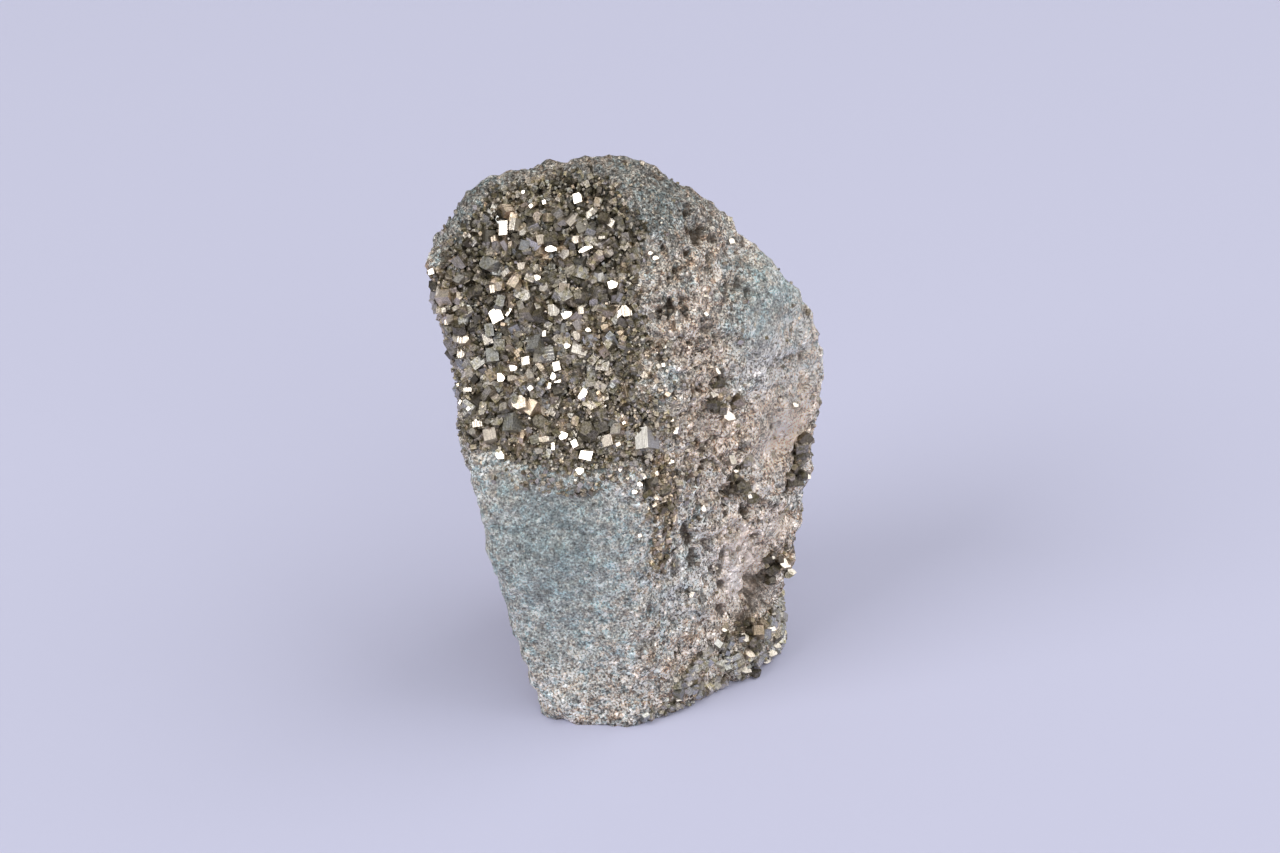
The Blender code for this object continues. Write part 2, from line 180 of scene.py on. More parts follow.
# Crystals that stand out in the photo, by the piece they belong to. Each row says where the bright face is
# in the picture, in pixels across and down, how wide and high it is in mm, how far it is spun in degrees,
# the crystal's habit and look, and how far in degrees it is tilted off the light that it mirrors
DRUSE_MARKS = (
    (503, 225, 0.85, 1.3, 5, "striated", "white", 3), (512, 224, 0.6, 1.0, -5, "striated", "pale", 15),
    (577, 198, 0.7, 0.85, 15, "clipped", "white", 1), (525, 193, 0.3, 0.3, 0, "cube", "white", 2),
    (546, 205, 0.35, 0.4, 20, "cube", "white", 3), (533, 208, 0.3, 0.3, 40, "cube", "white", 3),
    (494, 240, 0.5, 0.5, 10, "clipped", "peach", 14), (551, 235, 1.3, 1.3, 12, "striated", "dark", 26),
    (541, 236, 0.7, 0.85, 12, "clipped", "pink", 24), (552, 247, 1.0, 0.6, 10, "clipped", "white", 2),
    (575, 238, 0.55, 0.7, 10, "clipped", "cream", 12), (585, 250, 1.25, 0.45, 25, "clipped", "white", 3),
    (602, 237, 0.65, 0.32, 0, "slab", "pale", 12), (487, 262, 1.35, 1.35, -20, "clipped", "blue", 20),
    (522, 264, 0.6, 0.7, 5, "clipped", "cream", 13), (506, 271, 0.95, 0.55, 35, "cube", "pale", 16),
    (512, 280, 0.95, 0.95, -25, "clipped", "peach", 13), (492, 287, 0.4, 0.7, 10, "cube", "cream", 12),
    (499, 285, 0.65, 0.9, 5, "clipped", "pink", 19), (539, 277, 0.5, 0.55, 15, "clipped", "white", 2),
    (544, 284, 0.75, 1.15, -10, "clipped", "pale", 14), (614, 284, 0.8, 0.85, 20, "clipped", "white", 3),
    (470, 293, 1.1, 1.0, 20, "clipped", "dark", 35), (500, 299, 0.65, 1.0, -15, "cube", "blue", 32),
    (497, 313, 1.05, 1.2, 28, "clipped", "white", 0), (508, 309, 0.22, 1.1, -30, "slab", "white", 2),
    (504, 322, 0.45, 0.4, 0, "clipped", "gold", 12), (554, 310, 0.9, 1.2, 5, "clipped", "pale", 15),
    (567, 315, 0.85, 0.75, 30, "clipped", "white", 2), (561, 310, 0.3, 0.8, -25, "slab", "blue", 20),
    (582, 310, 0.45, 0.62, 5, "clipped", "cream", 12), (627, 310, 0.95, 1.1, 10, "clipped", "cream", 10),
    (589, 328, 0.45, 0.38, 10, "clipped", "white", 2), (544, 332, 0.35, 0.6, 5, "cube", "white", 4),
    (606, 327, 0.6, 0.6, 30, "clipped", "gold", 13), (577, 335, 0.6, 0.9, 15, "clipped", "cream", 14),
    (568, 345, 0.5, 0.52, 20, "clipped", "white", 1), (621, 333, 0.45, 0.45, 40, "clipped", "gold", 14),
    (463, 337, 1.1, 1.2, 2, "clipped", "cream", 9), (464, 350, 0.75, 1.1, 2, "clipped", "cream", 10),
    (533, 341, 1.2, 1.3, 5, "striated", "blue", 22), (490, 330, 0.85, 1.3, 8, "cube", "blue", 24),
    (538, 309, 0.95, 1.1, 15, "clipped", "dark", 33), (575, 294, 1.3, 1.3, 20, "pyritohedron", "dark", 28),
    (459, 322, 1.1, 1.1, 10, "clipped", "dark", 35), (442, 290, 1.4, 1.0, 5, "striated", "pink", 24),
    (445, 310, 0.45, 0.45, 10, "cube", "pale", 12), (447, 322, 0.3, 0.6, 0, "slab", "cream", 10),
    (431, 271, 0.5, 0.6, 15, "clipped", "white", 8), (514, 366, 0.6, 0.6, 15, "clipped", "white", 1),
    (501, 377, 0.62, 0.88, 5, "clipped", "white", 2), (512, 376, 0.95, 0.6, 12, "clipped", "pink", 16),
    (526, 359, 0.85, 0.85, 12, "striated", "white", 6), (494, 354, 1.0, 1.2, 5, "clipped", "blue", 26),
    (557, 366, 0.75, 0.8, 15, "striated", "white", 5), (554, 376, 0.45, 0.7, -20, "clipped", "white", 4),
    (558, 381, 0.65, 0.3, 5, "slab", "white", 4), (550, 385, 0.26, 0.68, -8, "slab", "white", 2),
    (532, 388, 0.38, 0.38, 45, "cube", "white", 3), (583, 393, 0.8, 0.95, -25, "clipped", "white", 0),
    (599, 392, 0.36, 0.36, 30, "cube", "gold", 8), (468, 389, 1.0, 0.36, 0, "striated", "white", 9),
    (485, 393, 0.6, 1.4, -45, "striated", "taupe", 24), (462, 401, 0.2, 0.5, -25, "slab", "white", 3),
    (469, 408, 0.36, 0.34, 45, "cube", "white", 5), (518, 401, 1.3, 1.35, 15, "clipped", "pink", 9),
    (530, 406, 1.15, 1.35, -28, "striated", "peach", 11),
    (504, 406, 0.75, 0.75, 20, "clipped", "taupe", 18), (508, 420, 1.15, 1.45, 5, "cube", "blue", 22),
    (490, 433, 1.25, 1.25, 16, "striated", "cream", 16), (477, 422, 0.8, 0.5, 8, "clipped", "cream", 12),
    (474, 430, 0.65, 0.7, 10, "clipped", "pale", 20), (500, 454, 0.75, 0.88, 5, "clipped", "white", 3),
    (521, 432, 0.6, 1.2, 0, "pyritohedron", "gold", 16), (544, 438, 0.88, 0.62, 16, "clipped", "pink", 14),
    (540, 451, 0.65, 0.6, 10, "clipped", "pale", 20), (563, 434, 0.75, 0.85, 20, "clipped", "white", 1),
    (575, 443, 0.5, 0.65, 30, "cube", "white", 2), (552, 445, 0.3, 0.85, 5, "slab", "white", 5),
    (586, 453, 1.15, 0.95, -12, "clipped", "white", 1), (580, 470, 0.6, 0.75, 40, "clipped", "white", 3),
    (607, 440, 0.95, 0.92, 16, "cube", "cream", 13), (616, 427, 0.9, 1.0, 5, "clipped", "pale", 17),
    (624, 422, 0.35, 0.3, 30, "cube", "cream", 6), (619, 444, 0.45, 0.35, 25, "cube", "cream", 5),
    (641, 437, 1.25, 1.75, 8, "striated", "glassy", 15),
    (582, 427, 1.8, 1.8, 0, "pyritohedron", "dark", 30), (602, 426, 1.05, 1.0, 20, "clipped", "dark", 32),
    (542, 421, 1.3, 1.3, 10, "clipped", "dark", 34), (644, 374, 0.7, 0.65, 10, "clipped", "pink", 12),
    (655, 260, 0.5, 0.45, 20, "clipped", "cream", 6), (649, 252, 0.4, 0.36, 30, "clipped", "pale", 6),
)
FLANK_MARKS = (
    (727, 413, 1.0, 1.15, 12, "clipped", "white", 1), (716, 370, 0.35, 0.7, 8, "clipped", "white", 4),
    (712, 392, 0.85, 0.85, 20, "striated", "pale", 11), (709, 398, 0.95, 0.85, 10, "striated", "dark", 30),
    (716, 405, 0.9, 0.9, 35, "clipped", "dark", 36), (721, 380, 1.0, 0.9, 15, "clipped", "dark", 36),
    (704, 314, 0.42, 0.45, 35, "cube", "white", 3), (702, 294, 0.7, 0.32, -8, "slab", "pale", 8),
    (729, 242, 0.48, 0.48, 10, "clipped", "white", 5),
)
LOWER_FLANK_MARKS = (
    (731, 458, 0.7, 0.85, 5, "striated", "pale", 12), (737, 478, 1.2, 1.2, 20, "pyritohedron", "dark", 32),
    (744, 487, 1.0, 1.0, 10, "clipped", "dark", 34), (751, 498, 1.1, 1.0, 25, "clipped", "dark", 30),
    (748, 495, 0.34, 0.36, 10, "cube", "white", 3), (735, 470, 0.4, 0.34, 15, "clipped", "white", 4),
    (702, 507, 0.42, 0.75, -15, "clipped", "white", 2), (688, 594, 0.35, 0.6, -5, "clipped", "white", 4),
)
RIM_MARKS = (
    (803, 449, 1.2, 1.2, 10, "clipped", "dark", 34), (800, 458, 0.9, 0.9, 30, "clipped", "taupe", 28),
    (799, 470, 1.0, 1.0, 25, "pyritohedron", "dark", 34), (796, 480, 1.1, 1.0, 10, "clipped", "dark", 34),
    (805, 475, 0.4, 0.7, 5, "clipped", "white", 4), (795, 403, 0.48, 0.52, 8, "clipped", "white", 3),
)
LOW_RIM_MARKS = (
    (783, 563, 0.95, 1.2, 10, "clipped", "white", 3), (789, 570, 0.7, 0.9, 25, "clipped", "pale", 6),
    (772, 556, 0.4, 0.36, 20, "cube", "pale", 7), (776, 566, 1.1, 1.0, 20, "clipped", "dark", 34),
    (768, 572, 1.0, 1.0, 10, "pyritohedron", "dark", 34), (786, 575, 0.8, 0.7, 30, "clipped", "taupe", 26),
)
SEAM_MARKS = (
    (668, 460, 0.55, 0.45, 20, "clipped", "white", 4), (638, 483, 0.45, 0.45, 10, "clipped", "white", 3),
    (643, 476, 0.32, 0.32, 30, "cube", "cream", 4), (652, 495, 0.95, 0.45, -30, "clipped", "pink", 4),
    (634, 490, 0.48, 0.45, 15, "clipped", "cream", 6), (646, 482, 0.95, 0.9, 10, "clipped", "dark", 34),
    (662, 487, 1.1, 1.0, 25, "clipped", "dark", 28), (661, 499, 0.4, 0.36, 20, "cube", "pink", 4),
    (671, 517, 0.45, 0.6, -20, "clipped", "peach", 6), (670, 508, 0.22, 0.5, -25, "slab", "pink", 5),
    (638, 534, 0.34, 0.32, 10, "cube", "cream", 5), (654, 472, 0.38, 0.36, 10, "cube", "pink", 6),
    (673, 428, 0.48, 0.75, -12, "clipped", "white", 3), (670, 418, 0.34, 0.38, 10, "cube", "white", 5),
    (663, 365, 0.34, 0.36, 10, "cube", "white", 3),
)
FOOT_MARKS = (
    (766, 625, 1.0, 0.95, 10, "clipped", "white", 4), (765, 634, 0.85, 0.8, 30, "clipped", "pale", 7),
    (774, 642, 0.75, 0.85, 10, "clipped", "pale", 7), (768, 652, 0.85, 0.75, 20, "clipped", "pale", 9),
    (744, 633, 0.9, 1.0, 10, "clipped", "pale", 8), (724, 630, 0.42, 0.42, 20, "clipped", "white", 3),
    (748, 651, 0.85, 1.0, 5, "clipped", "pink", 9), (746, 669, 1.0, 0.65, 5, "clipped", "pale", 11),
    (764, 667, 0.6, 0.5, 25, "clipped", "pale", 12), (672, 668, 0.42, 0.42, 10, "clipped", "pale", 8),
    (674, 679, 0.46, 0.5, 20, "clipped", "pale", 8), (720, 681, 0.36, 0.36, 10, "cube", "pale", 8),
    (758, 643, 1.1, 1.2, 10, "clipped", "dark", 36), (757, 669, 0.8, 0.8, 25, "clipped", "dark", 36),
)
LANDMARKS = {
    "pyrite_druse": DRUSE_MARKS,
    "flank_crystals": FLANK_MARKS,
    "lower_flank_crystals": LOWER_FLANK_MARKS,
    "rim_crystals": RIM_MARKS,
    "low_rim_crystals": LOW_RIM_MARKS,
    "seam_crystals": SEAM_MARKS,
    "foot_crystals": FOOT_MARKS,
}
RIGHT_LIT_FROM = 690

# Pits and patches of the rock that stand out in the photo. Each row says where the patch is in the picture,
# in pixels across and down, how wide and high it is in mm, and how strong it is
PIXELS_PER_MM = 12.0
BLOTCHES = {
    "pit": (
        (698, 236, 1.0, 1.9, 1.0), (714, 239, 0.8, 1.3, 0.9), (738, 281, 0.6, 1.3, 0.9),
        (751, 294, 0.9, 0.9, 0.7), (707, 329, 0.7, 0.7, 0.8), (674, 324, 0.5, 0.9, 0.8),
        (683, 354, 0.5, 1.2, 0.8), (684, 300, 0.6, 0.9, 0.7), (761, 345, 1.1, 1.1, 0.25),
        (801, 358, 0.5, 1.3, 0.7), (717, 408, 1.4, 0.9, 0.9), (724, 379, 1.0, 1.3, 0.8),
        (646, 464, 0.9, 2.2, 0.6), (631, 510, 0.9, 3.4, 0.35), (674, 493, 0.8, 1.7, 0.6),
        (688, 536, 0.7, 2.4, 0.9), (692, 558, 0.7, 2.0, 0.9), (690, 480, 0.6, 1.0, 0.7),
        (706, 462, 0.7, 0.7, 0.6), (737, 489, 1.9, 1.3, 0.9), (742, 510, 1.2, 0.8, 0.7),
        (724, 556, 0.7, 1.0, 1.0), (721, 570, 0.7, 0.9, 1.0), (710, 571, 0.5, 0.8, 0.8),
        (723, 585, 0.7, 0.9, 1.0), (720, 612, 0.8, 1.4, 0.8), (700, 626, 0.9, 0.8, 0.6),
        (675, 566, 0.8, 3.2, 0.65), (706, 546, 0.7, 1.7, 0.7), (703, 600, 0.8, 2.2, 0.65),
        (772, 566, 1.3, 1.3, 1.0), (764, 576, 1.1, 1.1, 0.9), (752, 580, 1.4, 1.0, 0.9),
        (747, 592, 1.1, 1.2, 0.9), (750, 606, 1.0, 0.9, 0.8), (745, 618, 1.4, 1.2, 1.0),
        (761, 600, 0.7, 1.4, 0.7), (797, 462, 0.9, 2.6, 0.9), (757, 642, 1.2, 1.4, 0.9),
        (757, 668, 1.0, 0.9, 0.8), (701, 655, 1.0, 0.8, 0.6), (590, 470, 2.6, 0.5, 0.4),
    ),
    "brown": (
        (685, 313, 0.9, 1.5, 0.6), (684, 384, 0.9, 1.3, 0.6), (740, 262, 1.3, 1.0, 0.5),
        (722, 300, 1.2, 1.2, 0.4), (700, 270, 1.4, 1.8, 0.4), (758, 556, 1.4, 0.9, 0.5),
        (756, 592, 1.9, 4.2, 0.55), (742, 612, 1.6, 2.4, 0.45), (772, 586, 1.2, 1.8, 0.5),
        (785, 485, 1.3, 1.8, 0.4), (700, 430, 1.2, 1.5, 0.4), (660, 440, 1.4, 1.4, 0.4),
        (655, 540, 1.0, 2.4, 0.3), (662, 340, 2.6, 6.0, 0.42), (664, 420, 2.6, 4.0, 0.42),
        (712, 318, 2.4, 4.0, 0.36), (700, 500, 1.6, 1.6, 0.4), (730, 520, 1.4, 1.2, 0.4),
        (690, 600, 1.2, 1.6, 0.35), (612, 472, 3.2, 1.4, 0.4), (500, 476, 3.2, 1.4, 0.45),
        (560, 470, 2.6, 1.0, 0.4),
    ),
    "teal": (
        (727, 265, 1.6, 1.2, 0.7), (688, 282, 1.0, 1.4, 0.6), (670, 378, 1.4, 2.2, 0.7),
        (729, 326, 1.4, 1.6, 0.6), (745, 311, 1.6, 1.4, 0.5), (788, 290, 2.2, 3.2, 0.35),
        (650, 330, 1.2, 2.2, 0.4), (660, 400, 1.0, 1.6, 0.5), (690, 560, 1.6, 2.2, 0.4),
        (700, 520, 1.2, 1.8, 0.4),
    ),
    "pale": (
        (543, 488, 1.4, 1.0, 0.5), (612, 497, 2.2, 1.6, 0.35), (757, 364, 1.7, 1.7, 0.6),
        (735, 590, 0.8, 5.0, 0.35), (775, 520, 1.6, 2.6, 0.35), (785, 425, 1.4, 2.0, 0.3),
        (676, 590, 1.6, 5.5, 0.25), (640, 168, 2.0, 0.6, 0.35),
    ),
    "tan": (
        (803, 381, 0.9, 1.8, 0.6), (786, 430, 1.6, 2.6, 0.6), (780, 520, 1.6, 3.0, 0.6),
        (736, 570, 1.2, 3.0, 0.6), (700, 300, 2.2, 2.6, 0.4), (720, 345, 2.4, 2.2, 0.4),
        (760, 400, 2.0, 2.0, 0.4),
    ),
}
BLOTCH_EDGES = (0.55, 1.35)
BLOTCH_RAGGED = ((0.9, 0.55), (0.4, 0.45))
BLOTCH_OFFSET = 71.0
BLOTCH_PIT_DEPTH = 0.45
BROWN_DARKNESS = 1.05

# Soft zones of the rock, each a list of (centre, spread, share). A rind zone is dimmer, partly the rind's
# own colour and partly painted shade on the top, the front and parts of the flank; a calm zone is smoother
ZONES = {
    "tan": (
        ((8.7, -4.0, 14.2), 2.2, 0.7), ((13.5, 1.0, 21.0), 2.6, 1.0), ((10.6, -2.8, 9.0), 3.4, 1.0),
        ((6.0, -5.0, 27.0), 3.2, 0.6), ((8.0, -3.0, 23.5), 3.0, 0.5), ((4.0, -5.0, 33.0), 2.6, 0.6),
        ((6.0, -8.0, 3.0), 3.0, 0.5), ((7.0, -1.0, 38.5), 2.5, 0.4),
    ),
    "teal": (
        ((-6.0, -9.5, 19.0), 6.0, 1.0), ((-5.0, -8.0, 8.0), 5.0, 0.6), ((2.0, 0.0, 44.0), 3.2, 0.8),
        ((-13.0, 1.0, 42.0), 3.5, 0.8), ((10.0, 0.0, 32.5), 2.6, 0.55), ((12.0, 2.0, 36.0), 3.0, 0.45),
        ((9.8, -2.0, 27.5), 1.8, 0.6), ((3.5, -6.5, 30.5), 1.8, 0.6), ((5.5, -7.0, 12.0), 2.6, 0.5),
    ),
    # Rind zones: the weathered rind's colour plus painted shade on the top cap, the front and parts of the
    # flank
    "rind_and_shade": (
        ((-6.0, -9.5, 19.0), 5.5, 0.6), ((12.6, 1.0, 32.0), 3.4, 0.34), ((13.8, 1.0, 19.5), 2.6, 0.22),
        ((11.6, 0.2, 23.2), 2.2, 0.46), ((-5.0, -8.0, 8.0), 5.0, 0.35), ((7.0, -2.0, 35.0), 5.0, 0.3),
        ((0.0, 2.0, 45.5), 4.0, 0.9), ((6.0, 3.5, 43.0), 3.0, 0.5), ((-8.0, 3.0, 44.5), 4.0, 0.9),
        ((-14.0, 1.5, 41.0), 3.0, 0.7), ((3.0, -4.0, 40.0), 2.5, 0.35), ((11.0, 1.0, 38.0), 2.0, 0.25),
        ((4.0, -6.0, 28.0), 3.0, 0.35), ((8.0, -6.0, 1.0), 3.0, 0.25),
    ),
    "calm": (
        ((-6.0, -9.5, 19.0), 5.5, 1.0), ((-5.0, -8.0, 8.0), 5.0, 0.6), ((12.5, 1.5, 33.0), 3.0, 0.5),
        ((11.2, -0.5, 31.6), 1.3, 0.7), ((15.5, 3.0, 29.0), 3.5, 0.6), ((12.0, 4.0, 37.5), 3.0, 0.5),
        ((13.5, 0.5, 22.0), 2.8, 0.9), ((10.5, -3.0, 9.5), 2.4, 0.6),
    ),
    "pale": (
        ((11.2, -0.4, 29.0), 1.6, 0.75), ((9.4, -3.8, 10.0), 2.2, 0.38), ((8.0, -4.6, 14.5), 2.0, 0.25),
        ((4.8, -7.4, 12.5), 1.6, 0.35), ((12.0, 0.0, 21.5), 1.2, 0.35),
    ),
}
CALM_FLATTENS = 0.72

LOOKS = {
    # name: (brightness, warmth, roughness), warmth 0 is blue-grey, 0.5 neutral and 1 gold
    "white": (0.95, 0.55, 0.18),
    "cream": (0.92, 0.66, 0.28),
    "pale": (0.84, 0.48, 0.32),
    "peach": (0.95, 0.80, 0.32),
    "pink": (0.92, 0.70, 0.32),
    "blue": (0.62, 0.16, 0.36),
    "dark": (0.32, 0.60, 0.44),
    "glassy": (0.82, 0.28, 0.28),
    "gold": (0.90, 1.00, 0.32),
    "taupe": (0.58, 0.58, 0.38),
}
# Random looks, each value drawn evenly between two ends. Cluster crystals are brown and weathered, tiny
# ones paler so that they glitter, the seam's brown to coppery, and the foot's grey-green and dull
RANDOM_LOOKS = {
    "cluster": ((0.18, 0.80), (0.6, 1.0), (0.32, 0.56)),
    "sugar": ((0.45, 0.90), (0.45, 0.85), (0.24, 0.45)),
    "seam": ((0.30, 0.90), (0.75, 1.00), (0.26, 0.48)),
    "foot": ((0.55, 1.00), (0.10, 0.50), (0.28, 0.50)),
}
# The druse's own crystals: mean and spread of brightness and warmth, and ends of roughness. Most are dull,
# some pale, and a few blue or gold. Small ones are darker and rougher
DRUSE_BRIGHTNESS = (0.53, 0.21)
DRUSE_DARKEST = 0.18
DRUSE_BRIGHTEST = 0.95
DRUSE_WARMTH = (0.53, 0.22)
DRUSE_FACE_ROUGHNESS = (0.36, 0.56)
LARGE_FROM = 0.4
LARGE_RUN = 0.5
LARGE_BRIGHTER = 0.10
LARGE_SMOOTHER = 0.08

# Scattered crystals of the druse: number wanted, smallest and largest width
DRUSE_SEED = 11
DRUSE_SIZES = (
    (45, 1.05, 1.35),
    (190, 0.84, 1.08),
    (520, 0.62, 0.84),
    (1250, 0.42, 0.62),
    (2800, 0.22, 0.42),
)
DRUSE_TRIES = 12
DRUSE_SPACING = 0.62
DRUSE_MARGIN = 0.15
DRUSE_SUNK = 0.42
DRUSE_JITTER = 0.12
DRUSE_STRETCH = (0.82, 1.18)
DRUSE_GLINTS = 0.006
SCATTER_HABITS = ("clipped", "clipped", "clipped", "cube", "slab", "pyritohedron", "striated")
# Crystals shrink towards the druse's right side, its top and its border
SHRINK_RIGHT = (-2.5, 3.0)
SHRINK_TOP = (40.5, 44.0)
SHRINK_BORDER = (0.2, 2.0)
SMALLEST_SHARE = 0.38
ANYWHERE_WIDTH = 0.45
WIDEST_PER_SHARE = 1.45
SMALL_WIDTH = 0.64
SMALL_SUNK = 0.22
SMALL_SUNK_DEPTHS = (0.5, 2.0)
# Tiny crystals grown on the others, and the bed between them
DUST_COUNT = 1900
DUST_WIDTHS = (0.10, 0.24)
DUST_RISES = (-0.32, 0.04)
DUST_HABITS = ("cube", "clipped")
BED_NOISE = 0.18
BED_ROUGHNESS = ((0.7, BED_NOISE), (0.3, BED_NOISE * 0.6))
BED_OFFSET = 31.0
# The bed's look: dark olive, partly a stain and partly painted shade in the gaps between the crystals
BED_LOOK_WITH_SHADE = (0.16, 0.95, 0.55)

# Crystals that stand out: how thick they are and how far they rise from the ground
LANDMARK_THICKNESS = 0.9
LANDMARK_RISE = 0.27
LANDMARK_CLEARANCE = 1.0
LANDMARK_SCALE = 0.93

# Small clusters on the rock, as groups of (centre, spread, number, smallest and largest width)
CLUSTERS = {
    "seam_crystals": (((3.0, -8.5, 21.6), 0.9, 26, 0.3, 1.1), ((2.6, -9.0, 19.6), 0.9, 30, 0.25, 0.9)),
    "flank_crystals": (((8.2, -3.3, 26.1), 0.7, 10, 0.5, 1.5), ((7.1, -4.1, 28.2), 0.8, 12, 0.4, 1.4)),
    "lower_flank_crystals": (
        ((9.1, -3.2, 19.6), 0.9, 16, 0.4, 1.4),
        ((9.9, -2.6, 17.8), 0.7, 10, 0.4, 1.2),
    ),
    "rim_crystals": (((14.8, 2.0, 18.9), 0.8, 12, 0.5, 1.5), ((14.3, 1.4, 16.8), 0.7, 10, 0.5, 1.3)),
    "low_rim_crystals": (((13.5, 0.1, 8.7), 0.7, 12, 0.5, 1.5), ((12.4, -1.0, 9.1), 0.8, 10, 0.4, 1.2)),
    "foot_crystals": (
        ((12.1, -1.8, 3.2), 0.9, 16, 0.5, 1.4),
        ((10.4, -3.4, 3.6), 1.0, 20, 0.4, 1.3),
        ((8.6, -5.0, 4.6), 1.0, 16, 0.4, 1.2),
        ((5.5, -7.8, 2.4), 1.4, 24, 0.3, 0.9),
    ),
}
CLUSTER_SEED = 7
CLUSTER_SCALE = 0.72
CLUSTER_SMALL_BIAS = 1.6
CLUSTER_CROWDING = 0.6
CLUSTER_RISES = (-0.1, 0.25)
CLUSTER_SPACING = 0.6
CLUSTER_GLINTS = 0.08
CLUSTER_HABITS = ("cube", "slab", "clipped", "pyritohedron")

# Tiny crystals sprinkled on the rock: number, smallest and largest width, share of glints, look
SPRINKLES = {
    "border": (700, 0.16, 0.45, 0.03, "sugar"),
    "flank": (520, 0.14, 0.40, 0.04, "sugar"),
    "seam": (420, 0.16, 0.46, 0.10, "seam"),
    "foot": (700, 0.3, 0.85, 0.05, "foot"),
}
SPRINKLE_SEED = 17
SPRINKLE_SMALL_BIAS = 2.0
SPRINKLE_RISE = 0.05
SPRINKLE_CLEAR_OF_BASE = 0.6
SPRINKLE_HABITS = ("clipped", "cube", "slab")
BORDER_DEPTHS = (-1.8, 0.4)
BORDER_BACK_Y = 4.0
FLANK_FROM_X = 1.0
FLANK_BACK_Y = 6.0
SEAM_X = 2.4
SEAM_SLOPE = 0.06
SEAM_SLOPE_FROM_Z = 12.0
SEAM_HALF_WIDTH = 0.8
SEAM_Z = (14.0, 25.0)
FOOT_FACING = 0.25
FOOT_BACK_Y = 2.5
FOOT_RISE = 3.4
FOOT_RISE_X = (1.0, 7.0)

# Shapes of the crystals, of about unit width
TEMPLATE_SEED = 4
TEMPLATE_COUNTS = {"cube": 3, "striated": 3, "slab": 1, "pyritohedron": 1, "clipped": 14}
SLAB_WIDTHS = (1.0, 0.75, 0.55)
CUBE_WIDTHS = (0.85, 1.1)
EDGE_SLANT = 0.2
EDGE_DISTANCES = (0.46, 0.60)
CORNER_SLANT = 0.25
CORNER_DISTANCES = (0.46, 0.62)
STEEP_ENOUGH = 1.1
NEARLY_PARALLEL = 1e-3
ON_PLANE = 1e-4
JUST_INSIDE = 1e-6
# Striations, tilts off a glint, and the grid in which crystals look for their neighbours
STRIATED_LINES = 2.0
STRIPE_STEP = 7.3
STRIPE_SHIFT = 50
GLINT_TILTS = (0, 7)
SPOT_CELL = 2.0

# Rock surface. Noises: (shift, scale, detail, roughness), cells: (shift, scale), with scales per mm
ROCK_NOISES = {
    "patches": (0.0, 0.50, 2.0, 0.5),
    "brown": (9.0, 1.3, 3.0, 0.6),
    "teal": (23.0, 1.0, 3.0, 0.6),
    "pink": (41.0, 1.7, 3.0, 0.6),
    "clumps": (0.0, 2.1, 2.0, 0.5),
    "coarse": (61.0, 0.75, 2.0, 0.5),
    "grain": (5.0, 5.2, 3.0, 0.80),
}
ROCK_CELLS = {"grains": (15.0, 6.0), "fine_grains": (3.0, 9.0), "pores": (33.0, 2.4), "flakes": (0.0, 3.8)}
# What the material makes of a value: (from, to, result at from, result at to)
ROCK_STEPS = {
    "neutral": (0.40, 0.60, 0.0, 1.0),
    "teal": (0.50, 0.62, 0.0, 0.65),
    "pink": (0.52, 0.62, 0.0, 0.65),
    "brown": (0.51, 0.63, 0.0, 0.80),
    "brown_grains": (0.72, 0.80, 0.0, 0.40),
    "cream_grains": (0.80, 0.86, 0.0, 0.45),
    "tan_contrast": (0.6, 1.0, 1.0, 0.65),
    "tan_level": (0.4, 1.0, 1.0, 1.14),
    "pores": (0.16, 0.34, 1.0, 0.0),
    "chosen_pores": (0.45, 0.75, 0.0, 0.8),
    "pits": (0.30, 0.85, 0.0, 0.82),
    "flakes": (0.30, 0.22, 0.0, 1.0),
    "roughness": (0.0, 1.0, 0.85, 0.30),
}
ROCK_COLOURS = {
    "warm": (0.55, 0.505, 0.45, 1),
    "neutral": (0.555, 0.555, 0.535, 1),
    "teal": (0.39, 0.485, 0.50, 1),
    "pink": (0.75, 0.605, 0.485, 1),
    "brown": (0.31, 0.205, 0.135, 1),
    "pale": (0.74, 0.73, 0.72, 1),
    "brown_grains": (0.36, 0.25, 0.17, 1),
    "cream_grains": (0.72, 0.66, 0.58, 1),
    # Pits and pores: dark brown, darkened further as painted shade
    "pit_brown_and_shade": (0.085, 0.058, 0.036, 1),
    "metal": (0.85, 0.78, 0.66, 1),
}
# What is left of a feature in the middle of a zone
PINK_IN_TEAL = 0.25
BROWN_IN_TEAL = 0.45
BROWN_IN_CALM = 0.15
GRAINS_IN_CALM = 0.35
CONTRAST_IN_CALM = 0.62
# Strengths of the zones' own colour, of light and dark, of ragged edges and of bumps
ZONE_SHARE = 0.75
ROCK_BRIGHTNESS = 1.75
# Brightness left in the middle of a rind zone, where painted shade dims the rock
RIND_AND_SHADE_SHARE = 0.40
GRAIN_CONTRAST = 6.0
CELL_CONTRAST = 0.85
CLUMP_CONTRAST = 2.6
COARSE_CONTRAST = 1.3
LEVEL_FLOOR = 0.10
PORE_RAGGED = 0.9
PIT_RAGGED = 1.5
FLAKE_CHOSEN = 0.965
ROCK_BUMP_MM = 0.36
GRAIN_BUMP = 1.2
CLUMP_BUMP = 1.2
CELL_BUMP = 0.16
PORE_BUMP = -0.35

